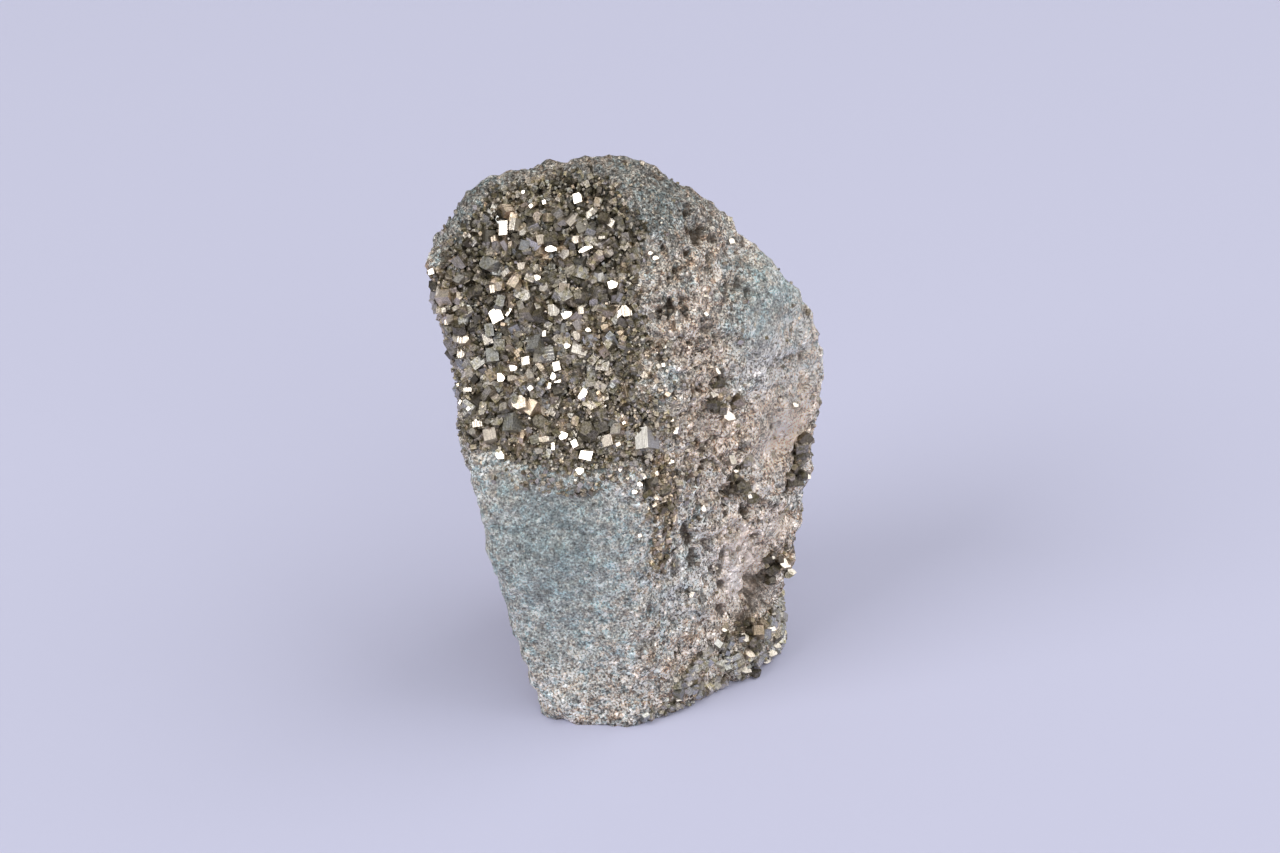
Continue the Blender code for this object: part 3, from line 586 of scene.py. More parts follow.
PYRITE_COLOURS = {
    "cool": (0.64, 0.67, 0.675, 1),
    "neutral": (0.77, 0.715, 0.65, 1),
    "gold": (0.88, 0.71, 0.545, 1),
    "dull": (0.65, 0.575, 0.42, 1),
    "stain": (0.46, 0.405, 0.19, 1),
}
PYRITE_STEPS = {
    "neutral": (0.0, 0.5, 0.0, 1.0),
    "gold": (0.5, 1.0, 0.0, 1.0),
    "dull": (0.25, 0.75, 0.45, 0.0),
    "film": (0.42, 0.66, 0.0, 0.68),
    "film_on_rough": (0.28, 0.42, 0.15, 1.0),
    "film_roughness": (0.4, 0.8, 0.0, 0.12),
    "lines": (0.30, 0.70, 0.86, 1.12),
    "mottle_low": (0.24, 0.42, 0.86, 0.42),
    "mottle_high": (0.24, 0.42, 1.08, 1.42),
    "mottle_rise": (0.28, 0.42, 0.33, 2.2),
}
FILM_NOISE = (2.2, 2.0)
MOTTLE_NOISE = (6.5, 3.0, 0.8)
MOTTLE_SHIFT = 7.0
MOTTLE_EDGES = (0.34, 0.66)
LINES_NOISE = {"Scale": 7.0, "Detail": 2.0}
PYRITE_BUMP_MM = 0.020

FLOOR_SIZE = 2.4
FLOOR_GAP = 0.00002
FLOOR_COLOUR = (0.563, 0.578, 0.757)
FLOOR_ROUGHNESS = 0.9
FLOOR_MIRROR = 0.2


# Form of the rock


FACE_NORMALS = np.array([normal_of(azimuth, elevation) for azimuth, elevation, _ in FACES.values()])
FACE_DISTANCES = np.array([distance for _, _, distance in FACES.values()])


def smooth_form(directions):
    """Points and outward normals of the rounded set of cut faces, one for each direction from the heart."""
    reach = np.clip(directions @ FACE_NORMALS.T, 0.0, None) / FACE_DISTANCES
    radius = (reach**ROUNDING).sum(axis=1) ** (-1.0 / ROUNDING)
    slopes = (reach ** (ROUNDING - 1) / FACE_DISTANCES) @ FACE_NORMALS
    normals = slopes / np.linalg.norm(slopes, axis=1, keepdims=True)
    return HEART + directions * radius[:, None], normals


def blob(points, centre, spread):
    """Soft round weight about a centre, one for each point."""
    away = ((points - np.array(centre)) ** 2).sum(axis=1)
    return np.exp(-0.5 * away / spread**2)


def rough(points, octaves, offset=0.0):
    """Sum of smooth noises, one (wavelength, amount) each."""
    total = np.zeros(len(points))
    for wavelength, amount in octaves:
        scaled = points / wavelength + offset
        total += amount * np.array([noise.noise(point) for point in scaled.tolist()])
    return total


def relief(points):
    """Height of the rock over its smooth form, without the fine relief."""
    height = rough(points, ROUGHNESS)
    for centre, spread, amount in (*RELIEF.values(), *TRIMS.values()):
        height += amount * blob(points, centre, spread)
    return height


def inside_distance(x, z):
    """Distance from the druse's outline, positive inside it, for arrays of x and z."""
    nearest = np.full(len(x), np.inf)
    inside = np.zeros(len(x), dtype=bool)
    for start, end in zip(DRUSE_OUTLINE, DRUSE_OUTLINE[1:] + DRUSE_OUTLINE[:1]):
        run = (end[0] - start[0], end[1] - start[1])
        away = (x - start[0], z - start[1])
        along = np.clip((away[0] * run[0] + away[1] * run[1]) / (run[0] ** 2 + run[1] ** 2), 0.0, 1.0)
        nearest = np.minimum(nearest, np.hypot(away[0] - along * run[0], away[1] - along * run[1]))
        crosses = (start[1] > z) != (end[1] > z)
        inside ^= crosses & (x < start[0] + (z - start[1]) * run[0] / run[1])
    return np.where(inside, nearest, -nearest)


def smooth_step(value, low, high):
    """0 up to the low value, 1 from the high one on, and smooth between them."""
    share = np.clip((value - low) / (high - low), 0.0, 1.0)
    return share * share * (3.0 - 2.0 * share)


class Ground:
    """The rock's surface as a ball of square cells: points, normals, depth inside the druse, and cells."""

    def __init__(self, cells):
        self.directions, self.quads = ball_of_cells(cells)
        self.smooth, self.normals = smooth_form(self.directions)
        x, y, z = self.smooth.T
        self.druse_depth = np.minimum(inside_distance(x, z), DRUSE_BACK_Y - y)
        self.points = self.smooth + self.normals * relief(self.smooth)[:, None]


def ball_of_cells(cells):
    """Unit directions and quads of a cube of cells, spaced evenly in angle."""
    steps = np.tan(np.linspace(-math.pi / 4, math.pi / 4, cells + 1))
    across, up = np.meshgrid(steps, steps, indexing="ij")
    flat = np.ones_like(across)
    sides = []
    quads = []
    index = np.arange((cells + 1) ** 2).reshape(cells + 1, cells + 1)
    corners = (index[:-1, :-1], index[1:, :-1], index[1:, 1:], index[:-1, 1:])
    loop = np.stack([corner.ravel() for corner in corners], axis=1)
    for axis in range(3):
        for sign in (1, -1):
            block = np.stack([across * sign, up, flat * sign], axis=-1).reshape(-1, 3)
            quads.append(loop + len(sides) * (cells + 1) ** 2)
            sides.append(np.roll(block, axis, axis=1))
    points = np.concatenate(sides)
    quads = np.concatenate(quads)
    _, first, back = np.unique(np.round(points, 6), axis=0, return_index=True, return_inverse=True)
    points = points[first]
    return points / np.linalg.norm(points, axis=1, keepdims=True), back.reshape(-1)[quads]


def mesh_object(name, points, faces, node_names, surface, smooth=True):
    """A mesh object in metres that stands for CAD nodes and rides on the one body."""
    data = bpy.data.meshes.new(name)
    placed = (np.asarray(points) + TO_BASE_CENTRE) * METRES_PER_MM
    sizes = np.array([len(face) for face in faces])
    data.vertices.add(len(placed))
    data.vertices.foreach_set("co", placed.ravel())
    data.loops.add(int(sizes.sum()))
    data.loops.foreach_set("vertex_index", np.concatenate(faces).astype(np.int32))
    data.polygons.add(len(sizes))
    data.polygons.foreach_set("loop_start", np.concatenate([[0], np.cumsum(sizes)[:-1]]).astype(np.int32))
    data.polygons.foreach_set("loop_total", sizes.astype(np.int32))
    data.polygons.foreach_set("use_smooth", np.full(len(sizes), smooth))
    data.update(calc_edges=True)
    data.validate()
    data.materials.append(surface)
    obj = bpy.data.objects.new(name, data)
    bpy.context.scene.collection.objects.link(obj)
    if node_names:
        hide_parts(*node_names)
    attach(obj, "root")
    return obj


def paint(obj, name, values):
    """Stores one colour for each point."""
    layer = obj.data.attributes.new(name, "FLOAT_COLOR", "POINT")
    colours = np.ones((len(obj.data.vertices), 4))
    colours[:, : values.shape[1]] = values
    layer.data.foreach_set("color", colours.ravel())


# Materials


class Nodes:
    """Short calls for building a material's node tree, with the material's own table of steps."""

    def __init__(self, name, steps=None):
        self.material = bpy.data.materials.new(name)
        self.material.use_nodes = True
        self.tree = self.material.node_tree
        self.shader = self.tree.nodes["Principled BSDF"]
        self.table = steps or {}

    def add(self, kind, inputs=(), **settings):
        node = self.tree.nodes.new(kind)
        for key, value in settings.items():
            setattr(node, key, value)
        for key, value in dict(inputs).items():
            self.put(node.inputs[key], value)
        return node

    def put(self, socket, value):
        if isinstance(value, bpy.types.NodeSocket):
            self.tree.links.new(value, socket)
        else:
            socket.default_value = value

    def finished(self, inputs):
        """The material, once its shader has these inputs."""
        for name, value in inputs.items():
            self.put(self.shader.inputs[name], value)
        return self.material

    def math(self, operation, *values, clamp=False):
        node = self.add("ShaderNodeMath", enumerate(values), operation=operation, use_clamp=clamp)
        return node.outputs[0]

    def plus(self, first, second):
        return self.math("ADD", first, second)

    def times(self, product, *factors):
        for factor in factors:
            product = self.math("MULTIPLY", product, factor)
        return product

    def mix(self, share, first, second, blend="MIX"):
        node = self.add("ShaderNodeMix", data_type="RGBA", blend_type=blend)
        self.put(node.inputs[0], share)
        self.put(node.inputs[6], first)
        self.put(node.inputs[7], second)
        return node.outputs[2]

    def dimmed(self, colour, level):
        """A colour times a grey level."""
        grey = self.add("ShaderNodeCombineColor", {0: level, 1: level, 2: level}).outputs[0]
        return self.mix(1.0, colour, grey, "MULTIPLY")

    def noise(self, place, scale, detail=2.0, rough=0.5):
        inputs = {"Vector": place, "Scale": scale, "Detail": detail, "Roughness": rough}
        return self.add("ShaderNodeTexNoise", inputs).outputs["Fac"]

    def cells(self, place, scale):
        """Distance to the middle of the nearest cell, and three values that are the cell's own."""
        node = self.add("ShaderNodeTexVoronoi", {"Vector": place, "Scale": scale})
        return node.outputs["Distance"], self.split(node.outputs["Color"])

    def steps(self, value, low, high, out_low=0.0, out_high=1.0):
        """Maps low..high to out_low..out_high, smoothly and clamped."""
        inputs = {0: value, 1: low, 2: high, 3: out_low, 4: out_high}
        return self.add("ShaderNodeMapRange", inputs, interpolation_type="SMOOTHSTEP").outputs[0]

    def step(self, name, value):
        """What the material's table makes of a value."""
        return self.steps(value, *self.table[name])

    def fade(self, zone, left):
        """1 outside a zone and less towards its middle."""
        return self.steps(zone, 0.0, 1.0, 1.0, left)

    def place_mm(self):
        """The point on the object, in millimetres."""
        place = self.add("ShaderNodeTexCoord").outputs["Object"]
        node = self.add("ShaderNodeVectorMath", {0: place}, operation="SCALE")
        node.inputs["Scale"].default_value = 1.0 / METRES_PER_MM
        return node.outputs[0]

    def shifted(self, place, offset):
        """The same place moved, so that another noise differs from the first."""
        inputs = {0: place, 1: (offset, -offset, 0.5 * offset)}
        return self.add("ShaderNodeVectorMath", inputs, operation="ADD").outputs[0]

    def around_zero(self, value, amount):
        """A noise or cell value less its middle, times an amount."""
        return self.times(self.math("SUBTRACT", value, 0.5), amount)

    def swing(self, value, amount):
        """1 at the middle of a noise, and up or down from there by an amount, never below LEVEL_FLOOR."""
        return self.math("MAXIMUM", self.plus(self.around_zero(value, amount), 1.0), LEVEL_FLOOR)

    def split(self, colour):
        return self.add("ShaderNodeSeparateColor", {0: colour}).outputs

    def attribute(self, name):
        return self.add("ShaderNodeAttribute", attribute_name=name).outputs

    def bump(self, height, distance_mm):
        inputs = {"Height": height, "Distance": distance_mm * METRES_PER_MM, "Strength": 1.0}
        return self.add("ShaderNodeBump", inputs).outputs["Normal"]


def rock_colour(nodes, zones, noises, cell):
    """The rock's patches and spots of colour, and its brown and cream grains, each mixed over the last."""
    teal, pink = (
        nodes.math("ADD", nodes.step(spot, noises[spot]), nodes.times(zones[zone], ZONE_SHARE), clamp=True)
        for spot, zone in (("teal", "teal"), ("pink", "tan"))
    )
    brown = nodes.times(nodes.step("brown", noises["brown"]), nodes.fade(zones["calm"], BROWN_IN_CALM))
    speckle = nodes.fade(zones["calm"], GRAINS_IN_CALM)
    shares = {
        "neutral": nodes.step("neutral", noises["patches"]),
        "teal": teal,
        "pink": nodes.times(pink, nodes.fade(zones["teal"], PINK_IN_TEAL)),
        "brown": nodes.times(brown, nodes.fade(zones["teal"], BROWN_IN_TEAL)),
        "pale": zones["pale"],
        "brown_grains": nodes.times(nodes.step("brown_grains", cell[1]), speckle),
        "cream_grains": nodes.times(nodes.step("cream_grains", cell[2]), speckle),
    }
    colour = ROCK_COLOURS["warm"]
    for name, share in shares.items():
        colour = nodes.mix(share, colour, ROCK_COLOURS[name])
    return colour


def rock_level(nodes, zones, noises, cell, fine_cell):
    """Light and dark grains, weaker in calm and tan zones, and dimmer on the rind, which is partly painted
    shade.
    """
    contrast = nodes.fade(zones["calm"], CONTRAST_IN_CALM)
    contrast = nodes.times(contrast, nodes.step("tan_contrast", zones["tan"]))
    grains = (
        (noises["grain"], GRAIN_CONTRAST),
        (cell[0], CELL_CONTRAST),
        (fine_cell[0], CELL_CONTRAST),
        (noises["clumps"], CLUMP_CONTRAST),
    )
    factors = [nodes.swing(value, nodes.times(contrast, amount)) for value, amount in grains]
    factors.append(nodes.swing(noises["coarse"], COARSE_CONTRAST))
    factors.append(nodes.step("tan_level", zones["tan"]))
    # Painted shade: the rock is dimmer in the rind zones, on the top cap, the front and parts of the flank
    factors.append(nodes.steps(zones["rind_and_shade"], 0.0, 1.0, ROCK_BRIGHTNESS, RIND_AND_SHADE_SHARE * ROCK_BRIGHTNESS))
    return nodes.times(*factors)


def rock_pores(nodes, zones, grain, distance, cell):
    """Small pores in some of the cells, with ragged edges, bumped in and painted dark as painted shade with
    some brown.
    """
    ragged = nodes.plus(distance, nodes.around_zero(grain, PORE_RAGGED))
    pore = nodes.times(nodes.step("pores", ragged), nodes.step("chosen_pores", cell[0]))
    return nodes.times(pore, nodes.fade(zones["calm"], GRAINS_IN_CALM))


def rock_material():
    """Granular matrix: brown, pink, grey and blue-green, with a few metallic specks; pits and pores painted
    dark brown, partly as painted shade.
    """
    nodes = Nodes("matrix_rock_surface", ROCK_STEPS)
    place = nodes.place_mm()
    zones = dict(zip(("tan", "teal", "dark"), nodes.split(nodes.attribute("zones")["Color"])))
    zones.update(zip(("rind_and_shade", "calm", "pale"), nodes.split(nodes.attribute("shade")["Color"])))
    noises = {}
    for name, (shift, *settings) in ROCK_NOISES.items():
        noises[name] = nodes.noise(nodes.shifted(place, shift), *settings)
    cells = {}
    for name, (shift, scale) in ROCK_CELLS.items():
        cells[name] = nodes.cells(nodes.shifted(place, shift), scale)
    grain = noises["grain"]
    _, cell = cells["grains"]
    _, fine_cell = cells["fine_grains"]

    colour = rock_colour(nodes, zones, noises, cell)
    colour = nodes.dimmed(colour, rock_level(nodes, zones, noises, cell, fine_cell))
    pore = rock_pores(nodes, zones, grain, *cells["pores"])
    # Pits and pores take the dark brown colour: partly brown interiors, partly painted shade in the recesses
    pit = nodes.step("pits", nodes.plus(zones["dark"], nodes.around_zero(grain, PIT_RAGGED)))
    colour = nodes.mix(nodes.math("MAXIMUM", pit, pore), colour, ROCK_COLOURS["pit_brown_and_shade"])
    flake_distance, flake = cells["flakes"]
    chosen = nodes.math("GREATER_THAN", flake[0], FLAKE_CHOSEN)
    metal = nodes.times(chosen, nodes.step("flakes", flake_distance))
    bumps = nodes.plus(nodes.times(grain, GRAIN_BUMP), nodes.times(noises["clumps"], CLUMP_BUMP))
    bumps = nodes.plus(bumps, nodes.times(cell[0], CELL_BUMP))
    bumps = nodes.plus(bumps, nodes.times(pore, PORE_BUMP))
    return nodes.finished(
        {
            "Base Color": nodes.mix(metal, colour, ROCK_COLOURS["metal"]),
            "Metallic": metal,
            "Roughness": nodes.step("roughness", metal),
            "Normal": nodes.bump(bumps, ROCK_BUMP_MM),
        }
    )


def pyrite_material():
    """Metallic crystal faces, each crystal with its own look, a stained film and fine striations."""
    nodes = Nodes("pyrite_surface", PYRITE_STEPS)
    place = nodes.place_mm()
    bright, warm, roughness = nodes.split(nodes.attribute("tint")["Color"])
    stripe = {"W": nodes.attribute("stripe")["Fac"], **LINES_NOISE}
    lines = nodes.add("ShaderNodeTexNoise", stripe, noise_dimensions="1D").outputs["Fac"]
    film = nodes.noise(place, *FILM_NOISE)
    mottle = nodes.noise(nodes.shifted(place, MOTTLE_SHIFT), *MOTTLE_NOISE)
    shares = {
        "neutral": nodes.step("neutral", warm),
        "gold": nodes.step("gold", warm),
        "dull": nodes.step("dull", bright),
        "stain": nodes.times(nodes.step("film", film), nodes.step("film_on_rough", roughness)),
    }
    colour = PYRITE_COLOURS["cool"]
    for name, share in shares.items():
        colour = nodes.mix(share, colour, PYRITE_COLOURS[name])
    ends = (nodes.step("mottle_low", roughness), nodes.step("mottle_high", roughness))
    level = nodes.times(bright, nodes.step("lines", lines), nodes.steps(mottle, *MOTTLE_EDGES, *ends))
    surface = nodes.plus(lines, nodes.times(mottle, nodes.step("mottle_rise", roughness)))
    return nodes.finished(
        {
            "Base Color": nodes.dimmed(colour, level),
            "Metallic": 1.0,
            "Roughness": nodes.plus(roughness, nodes.step("film_roughness", film)),
            "Normal": nodes.bump(surface, PYRITE_BUMP_MM),
        }
    )


def floor_material():
    """Matt pale lilac paper."""
    colour = (*FLOOR_COLOUR, 1)
    inputs = {"Base Color": colour, "Roughness": FLOOR_ROUGHNESS, "Specular IOR Level": FLOOR_MIRROR}
    return Nodes("floor_paper").finished(inputs)


# Crystals


def cube_planes(widths):
    """Six planes of a block, as (normal, distance) pairs."""
    planes = []
    for axis in range(3):
        for sign in (-1.0, 1.0):
            normal = [0.0, 0.0, 0.0]
            normal[axis] = sign
            planes.append((tuple(normal), widths[axis] * 0.5))
    return planes


def habit_planes(habit, draw):
    """Cutting planes of one crystal of a habit, of about unit width."""
    if habit == "slab":
        return cube_planes(SLAB_WIDTHS)
    if habit == "pyritohedron":
        flat = [(0.0, 2.0 * a, 1.0 * b) for a in (-1, 1) for b in (-1, 1)]
        turned = [[normal[turn:] + normal[:turn] for normal in flat] for turn in range(3)]
        return [(tuple(np.array(normal) / math.sqrt(5.0)), 0.5) for normal in sum(turned, [])]
    planes = cube_planes([draw.uniform(*CUBE_WIDTHS) for _ in range(3)])
    if habit == "clipped":
        for _ in range(draw.randint(1, 2)):
            slant = (draw.choice((-1, 1)), draw.choice((-1, 1)), draw.uniform(-EDGE_SLANT, EDGE_SLANT))
            planes.append((tuple(Vector(slant).normalized()), draw.uniform(*EDGE_DISTANCES)))
        for _ in range(draw.randint(2, 4)):
            slant = [draw.choice((-1, 0, 1)) + draw.uniform(-CORNER_SLANT, CORNER_SLANT) for _ in range(3)]
            if Vector(slant).length > STEEP_ENOUGH:
                planes.append((tuple(Vector(slant).normalized()), draw.uniform(*CORNER_DISTANCES)))
    return planes


class Template:
    """Points, faces and the striation direction of each face of one crystal cut by planes."""

    def __init__(self, planes):
        normals = np.array([normal for normal, _ in planes])
        distances = np.array([distance for _, distance in planes])
        corners = []
        for trio in itertools.combinations(range(len(planes)), 3):
            matrix = normals[list(trio)]
            if abs(np.linalg.det(matrix)) < NEARLY_PARALLEL:
                continue
            corner = np.linalg.solve(matrix, distances[list(trio)])
            if (normals @ corner <= distances + JUST_INSIDE).all():
                corners.append(corner)
        self.points = np.unique(np.round(corners, 5), axis=0)
        self.faces = []
        self.across = []
        for normal, distance in zip(normals, distances):
            on_face = np.flatnonzero(np.abs(self.points @ normal - distance) < ON_PLANE)
            if len(on_face) < 3:
                continue
            side = Vector(normal).orthogonal().normalized()
            up = Vector(normal).cross(side)
            away = self.points[on_face] - self.points[on_face].mean(axis=0)
            angle = np.arctan2(away @ np.array(up), away @ np.array(side))
            self.faces.append(on_face[np.argsort(angle)])
            self.across.append((int(np.argmax(np.abs(normal))) + 1) % 3)


def make_templates():
    """Several shapes of each habit."""
    draw = random.Random(TEMPLATE_SEED)
    return {
        habit: [Template(habit_planes(habit, draw)) for _ in range(count)]
        for habit, count in TEMPLATE_COUNTS.items()
    }


TEMPLATES = make_templates()


class Crystals:
    """Collects crystals and turns them into one mesh."""

    def __init__(self):
        self.points = []
        self.faces = []
        self.stripes = []
        self.tints = []
        self.count = 0

    def add(self, centre, turn, width, habit, look, stretch=(1.0, 1.0, 1.0), phase=0.0):
        """Adds one crystal, lifted where it would reach below the base."""
        shapes = TEMPLATES[habit]
        template = shapes[self.count % len(shapes)]
        local = template.points * width * np.array(stretch)
        placed = local @ np.array(turn).T + np.array(centre)
        placed[:, 2] += max(0.0, -placed[:, 2].min())
        self.points.append(placed)
        self.faces.extend(face + self.count for face in template.faces)
        lines = STRIATED_LINES if habit == "striated" else 1.0
        for face, axis in zip(template.faces, template.across):
            self.stripes.append(local[face, axis] * lines + phase + axis * STRIPE_STEP)
        self.tints.append(np.tile(look, (len(local), 1)))
        self.count += len(local)

    def surface_patch(self, points, faces, look):
        """Adds a piece of ground, such as the bed between the crystals."""
        self.points.append(points)
        self.faces.extend(face + self.count for face in faces)
        self.stripes.extend(np.zeros(len(face)) for face in faces)
        self.tints.append(np.tile(look, (len(points), 1)))
        self.count += len(points)

    def build(self, name, node_names, surface):
        points = np.concatenate(self.points)
        obj = mesh_object(name, points, self.faces, node_names, surface, smooth=False)
        paint(obj, "tint", np.concatenate(self.tints))
        layer = obj.data.attributes.new("stripe", "FLOAT", "CORNER")
        layer.data.foreach_set("value", np.concatenate(self.stripes))


def random_turn(draw):
    return Quaternion([draw.gauss(0, 1) for _ in range(4)]).normalized().to_matrix()


def facing_turn(draw, normal, tilt_deg, spin_deg=None):
    """Turns a crystal so that one face looks along a direction, off by a tilt in a random sense."""
    off = random_turn(draw) @ Vector((1, 0, 0))
    off = (off - normal * off.dot(normal)).normalized()
    aim = (normal * math.cos(math.radians(tilt_deg)) + off * math.sin(math.radians(tilt_deg))).normalized()
    spin = draw.uniform(0, 360) if spin_deg is None else spin_deg
    across = PICTURE_UP.cross(aim).normalized()
    upright = Matrix((across, aim.cross(across), aim)).transposed()
    return upright @ Matrix.Rotation(math.radians(spin), 3, "Z")


def free_turn(draw, glint_share):
    """A random turn, or for a share of the crystals one that mirrors a light to the viewer."""
    if draw.random() < glint_share:
        return facing_turn(draw, draw.choice((LEFT_GLINT, RIGHT_GLINT)), draw.uniform(*GLINT_TILTS))
    return random_turn(draw)


def druse_look(draw, width):
    """Random brightness, warmth and roughness of one of the druse's own crystals."""
    large = min(1.0, max(0.0, (width - LARGE_FROM) / LARGE_RUN))
    mean, spread = DRUSE_BRIGHTNESS
    bright = min(DRUSE_BRIGHTEST, max(DRUSE_DARKEST, draw.gauss(mean + LARGE_BRIGHTER * large, spread)))
    warm = min(1.0, max(0.0, draw.gauss(*DRUSE_WARMTH)))
    return (bright, warm, draw.uniform(*DRUSE_FACE_ROUGHNESS) - LARGE_SMOOTHER * large)


def random_look(draw, kind):
    return tuple(draw.uniform(*ends) for ends in RANDOM_LOOKS[kind])


class Spots:
    """Remembers placed crystals so that others keep clear of them."""

    def __init__(self):
        self.cells = {}

    def cell(self, point):
        return tuple(int(math.floor(value / SPOT_CELL)) for value in point)

    def is_clear(self, point, width, spacing):
        home = self.cell(point)
        for step in itertools.product((-1, 0, 1), repeat=3):
            beside = tuple(value + more for value, more in zip(home, step))
            for other, size in self.cells.get(beside, ()):
                if math.dist(point, other) < spacing * 0.5 * (width + size):
                    return False
        return True

    def add(self, point, width):
        self.cells.setdefault(self.cell(point), []).append((point, width))


def in_picture(ground):
    """Where each ground point is in the picture, across and down, and whether it faces the viewer."""
    eye = np.array(VIEW_TARGET) + np.array(VIEW_DIRECTION) * VIEW_DISTANCE
    away = ground.points - eye
    depth = -away @ np.array(VIEW_DIRECTION)
    focal = LENS_MM / SENSOR_MM * PICTURE_SIZE[0]
    across = PICTURE_SIZE[0] / 2 + focal * away[:, 0] / depth
    down = PICTURE_SIZE[1] / 2 - focal * (away @ np.array(PICTURE_UP)) / depth
    return across, down, (ground.normals * -away).sum(axis=1) > 0.0


def blotch_share(ground, kind, ragged):
    """How far each ground point lies in the ragged patches of one kind."""
    across, down, facing = in_picture(ground)
    share = np.zeros(len(across))
    for centre_across, centre_down, width, height, strength in BLOTCHES[kind]:
        aside = (across - centre_across) / (0.5 * width * PIXELS_PER_MM)
        above = (down - centre_down) / (0.5 * height * PIXELS_PER_MM)
        inside = 1.0 - smooth_step(np.hypot(aside, above) + ragged, *BLOTCH_EDGES)
        share = np.maximum(share, strength * inside)
    return share * facing


def tree_of(points, indices):
    """A search tree of some of the points."""
    tree = KDTree(len(indices))
    for index in indices:
        tree.insert(points[index], index)
    tree.balance()
    return tree


def picture_tree(ground):
    """The ground points that face the viewer, by where they are in the picture."""
    across, down, facing = in_picture(ground)
    places = np.column_stack([across, down, np.zeros(len(across))])
    return tree_of(places, np.flatnonzero(facing).tolist())


def add_landmarks(name, crystals, spots, ground, seen, draw):
    """Adds the crystals of one piece that stand out in the photo."""
    for across, down, width, height, spin, habit, look, tilt in LANDMARKS[name]:
        _, index, _ = seen.find((across, down, 0.0))
        glint = RIGHT_GLINT if across > RIGHT_LIT_FROM else LEFT_GLINT
        turn = facing_turn(draw, glint, tilt, spin)
        thick = LANDMARK_THICKNESS * max(width, height)
        rise = ground.normals[index] * LANDMARK_RISE
        centre = ground.points[index] + rise - np.array(turn.col[2]) * 0.5 * thick
        stretch = (width, height, thick)
        phase = draw.random() * STRIPE_SHIFT
        crystals.add(centre, turn, LANDMARK_SCALE, habit, LOOKS[look], stretch, phase)
        spots.add(tuple(centre), LANDMARK_CLEARANCE * max(width, height))


def druse_size_share(point, depth):
    """How large crystals grow at a place, next to those in the middle of the druse."""
    right = float(smooth_step(-point[0], *SHRINK_RIGHT))
    top = float(1.0 - smooth_step(point[2], *SHRINK_TOP))
    border = float(smooth_step(depth, *SHRINK_BORDER))
    return SMALLEST_SHARE + (1.0 - SMALLEST_SHARE) * min(right, top, border)


def scatter_in_druse(ground, places, crystals, spots, draw):
    """Fills the druse with crystals of one size after another, largest first, clear of each other."""
    for wanted, low, high in DRUSE_SIZES:
        placed = 0
        for index in draw.choices(places, k=wanted * DRUSE_TRIES):
            depth = ground.druse_depth[index]
            width = draw.uniform(low, high)
            share = druse_size_share(ground.points[index], depth)
            if width > ANYWHERE_WIDTH and width > WIDEST_PER_SHARE * share:
                continue
            sunk = DRUSE_SUNK * width + draw.uniform(0.0, DRUSE_SUNK)
            if width < SMALL_WIDTH:
                sunk += SMALL_SUNK * float(smooth_step(depth, *SMALL_SUNK_DEPTHS))
            jitter = np.array([draw.uniform(-DRUSE_JITTER, DRUSE_JITTER) for _ in range(3)])
            centre = ground.points[index] - ground.normals[index] * sunk + jitter
            if not spots.is_clear(tuple(centre), width, DRUSE_SPACING):
                continue
            habit = draw.choice(SCATTER_HABITS)
            stretch = [draw.uniform(*DRUSE_STRETCH) for _ in range(3)]
            turn = free_turn(draw, DRUSE_GLINTS)
            look = druse_look(draw, width)
            crystals.add(centre, turn, width, habit, look, stretch, draw.random() * STRIPE_SHIFT)
            spots.add(tuple(centre), width)
            placed += 1
            if placed == wanted:
                break


def druse(ground, seen, surface):
    """The crust: the crystals that stand out, those that fill it, tiny ones on them, and the bed below."""
    draw = random.Random(DRUSE_SEED)
    crystals = Crystals()
    spots = Spots()
    add_landmarks("pyrite_druse", crystals, spots, ground, seen, draw)
    places = np.flatnonzero(ground.druse_depth > DRUSE_MARGIN).tolist()
    scatter_in_druse(ground, places, crystals, spots, draw)
    for index in draw.choices(places, k=DUST_COUNT):
        width = draw.uniform(*DUST_WIDTHS)
        centre = ground.points[index] + ground.normals[index] * draw.uniform(*DUST_RISES)
        turn = random_turn(draw)
        habit = draw.choice(DUST_HABITS)
        crystals.add(centre, turn, width, habit, random_look(draw, "sugar"))
    # The bed between the crystals, painted dark: painted shade with an olive stain
    crystals.surface_patch(*bed(ground), BED_LOOK_WITH_SHADE)
    crystals.build("pyrite_druse_crystals", ["pyrite_druse"], surface)


def bed(ground):
    """The ground inside the druse's outline, sunk and roughened, as points and faces of their own."""
    keep = ground.druse_depth > 0.0
    faces = ground.quads[keep[ground.quads].all(axis=1)]
    used = np.unique(faces)
    lookup = np.full(len(ground.points), -1)
    lookup[used] = np.arange(len(used))
    rise = rough(ground.points[used], BED_ROUGHNESS, BED_OFFSET)
    points = ground.points[used] + ground.normals[used] * (rise - BED_DEPTH)[:, None]
    return points, list(lookup[faces])


# Rock


def cut_flat_base(points):
    """Draws points that lie below the base towards the heart, onto the base."""
    below = points[:, 2] < 0.0
    share = HEART[2] / (HEART[2] - points[below, 2])
    points[below] = HEART + (points[below] - HEART) * share[:, None]


def zone_share(points, kind):
    """How far each point lies in any of the soft zones of one kind."""
    return sum(amount * blob(points, centre, spread) for centre, spread, amount in ZONES[kind])


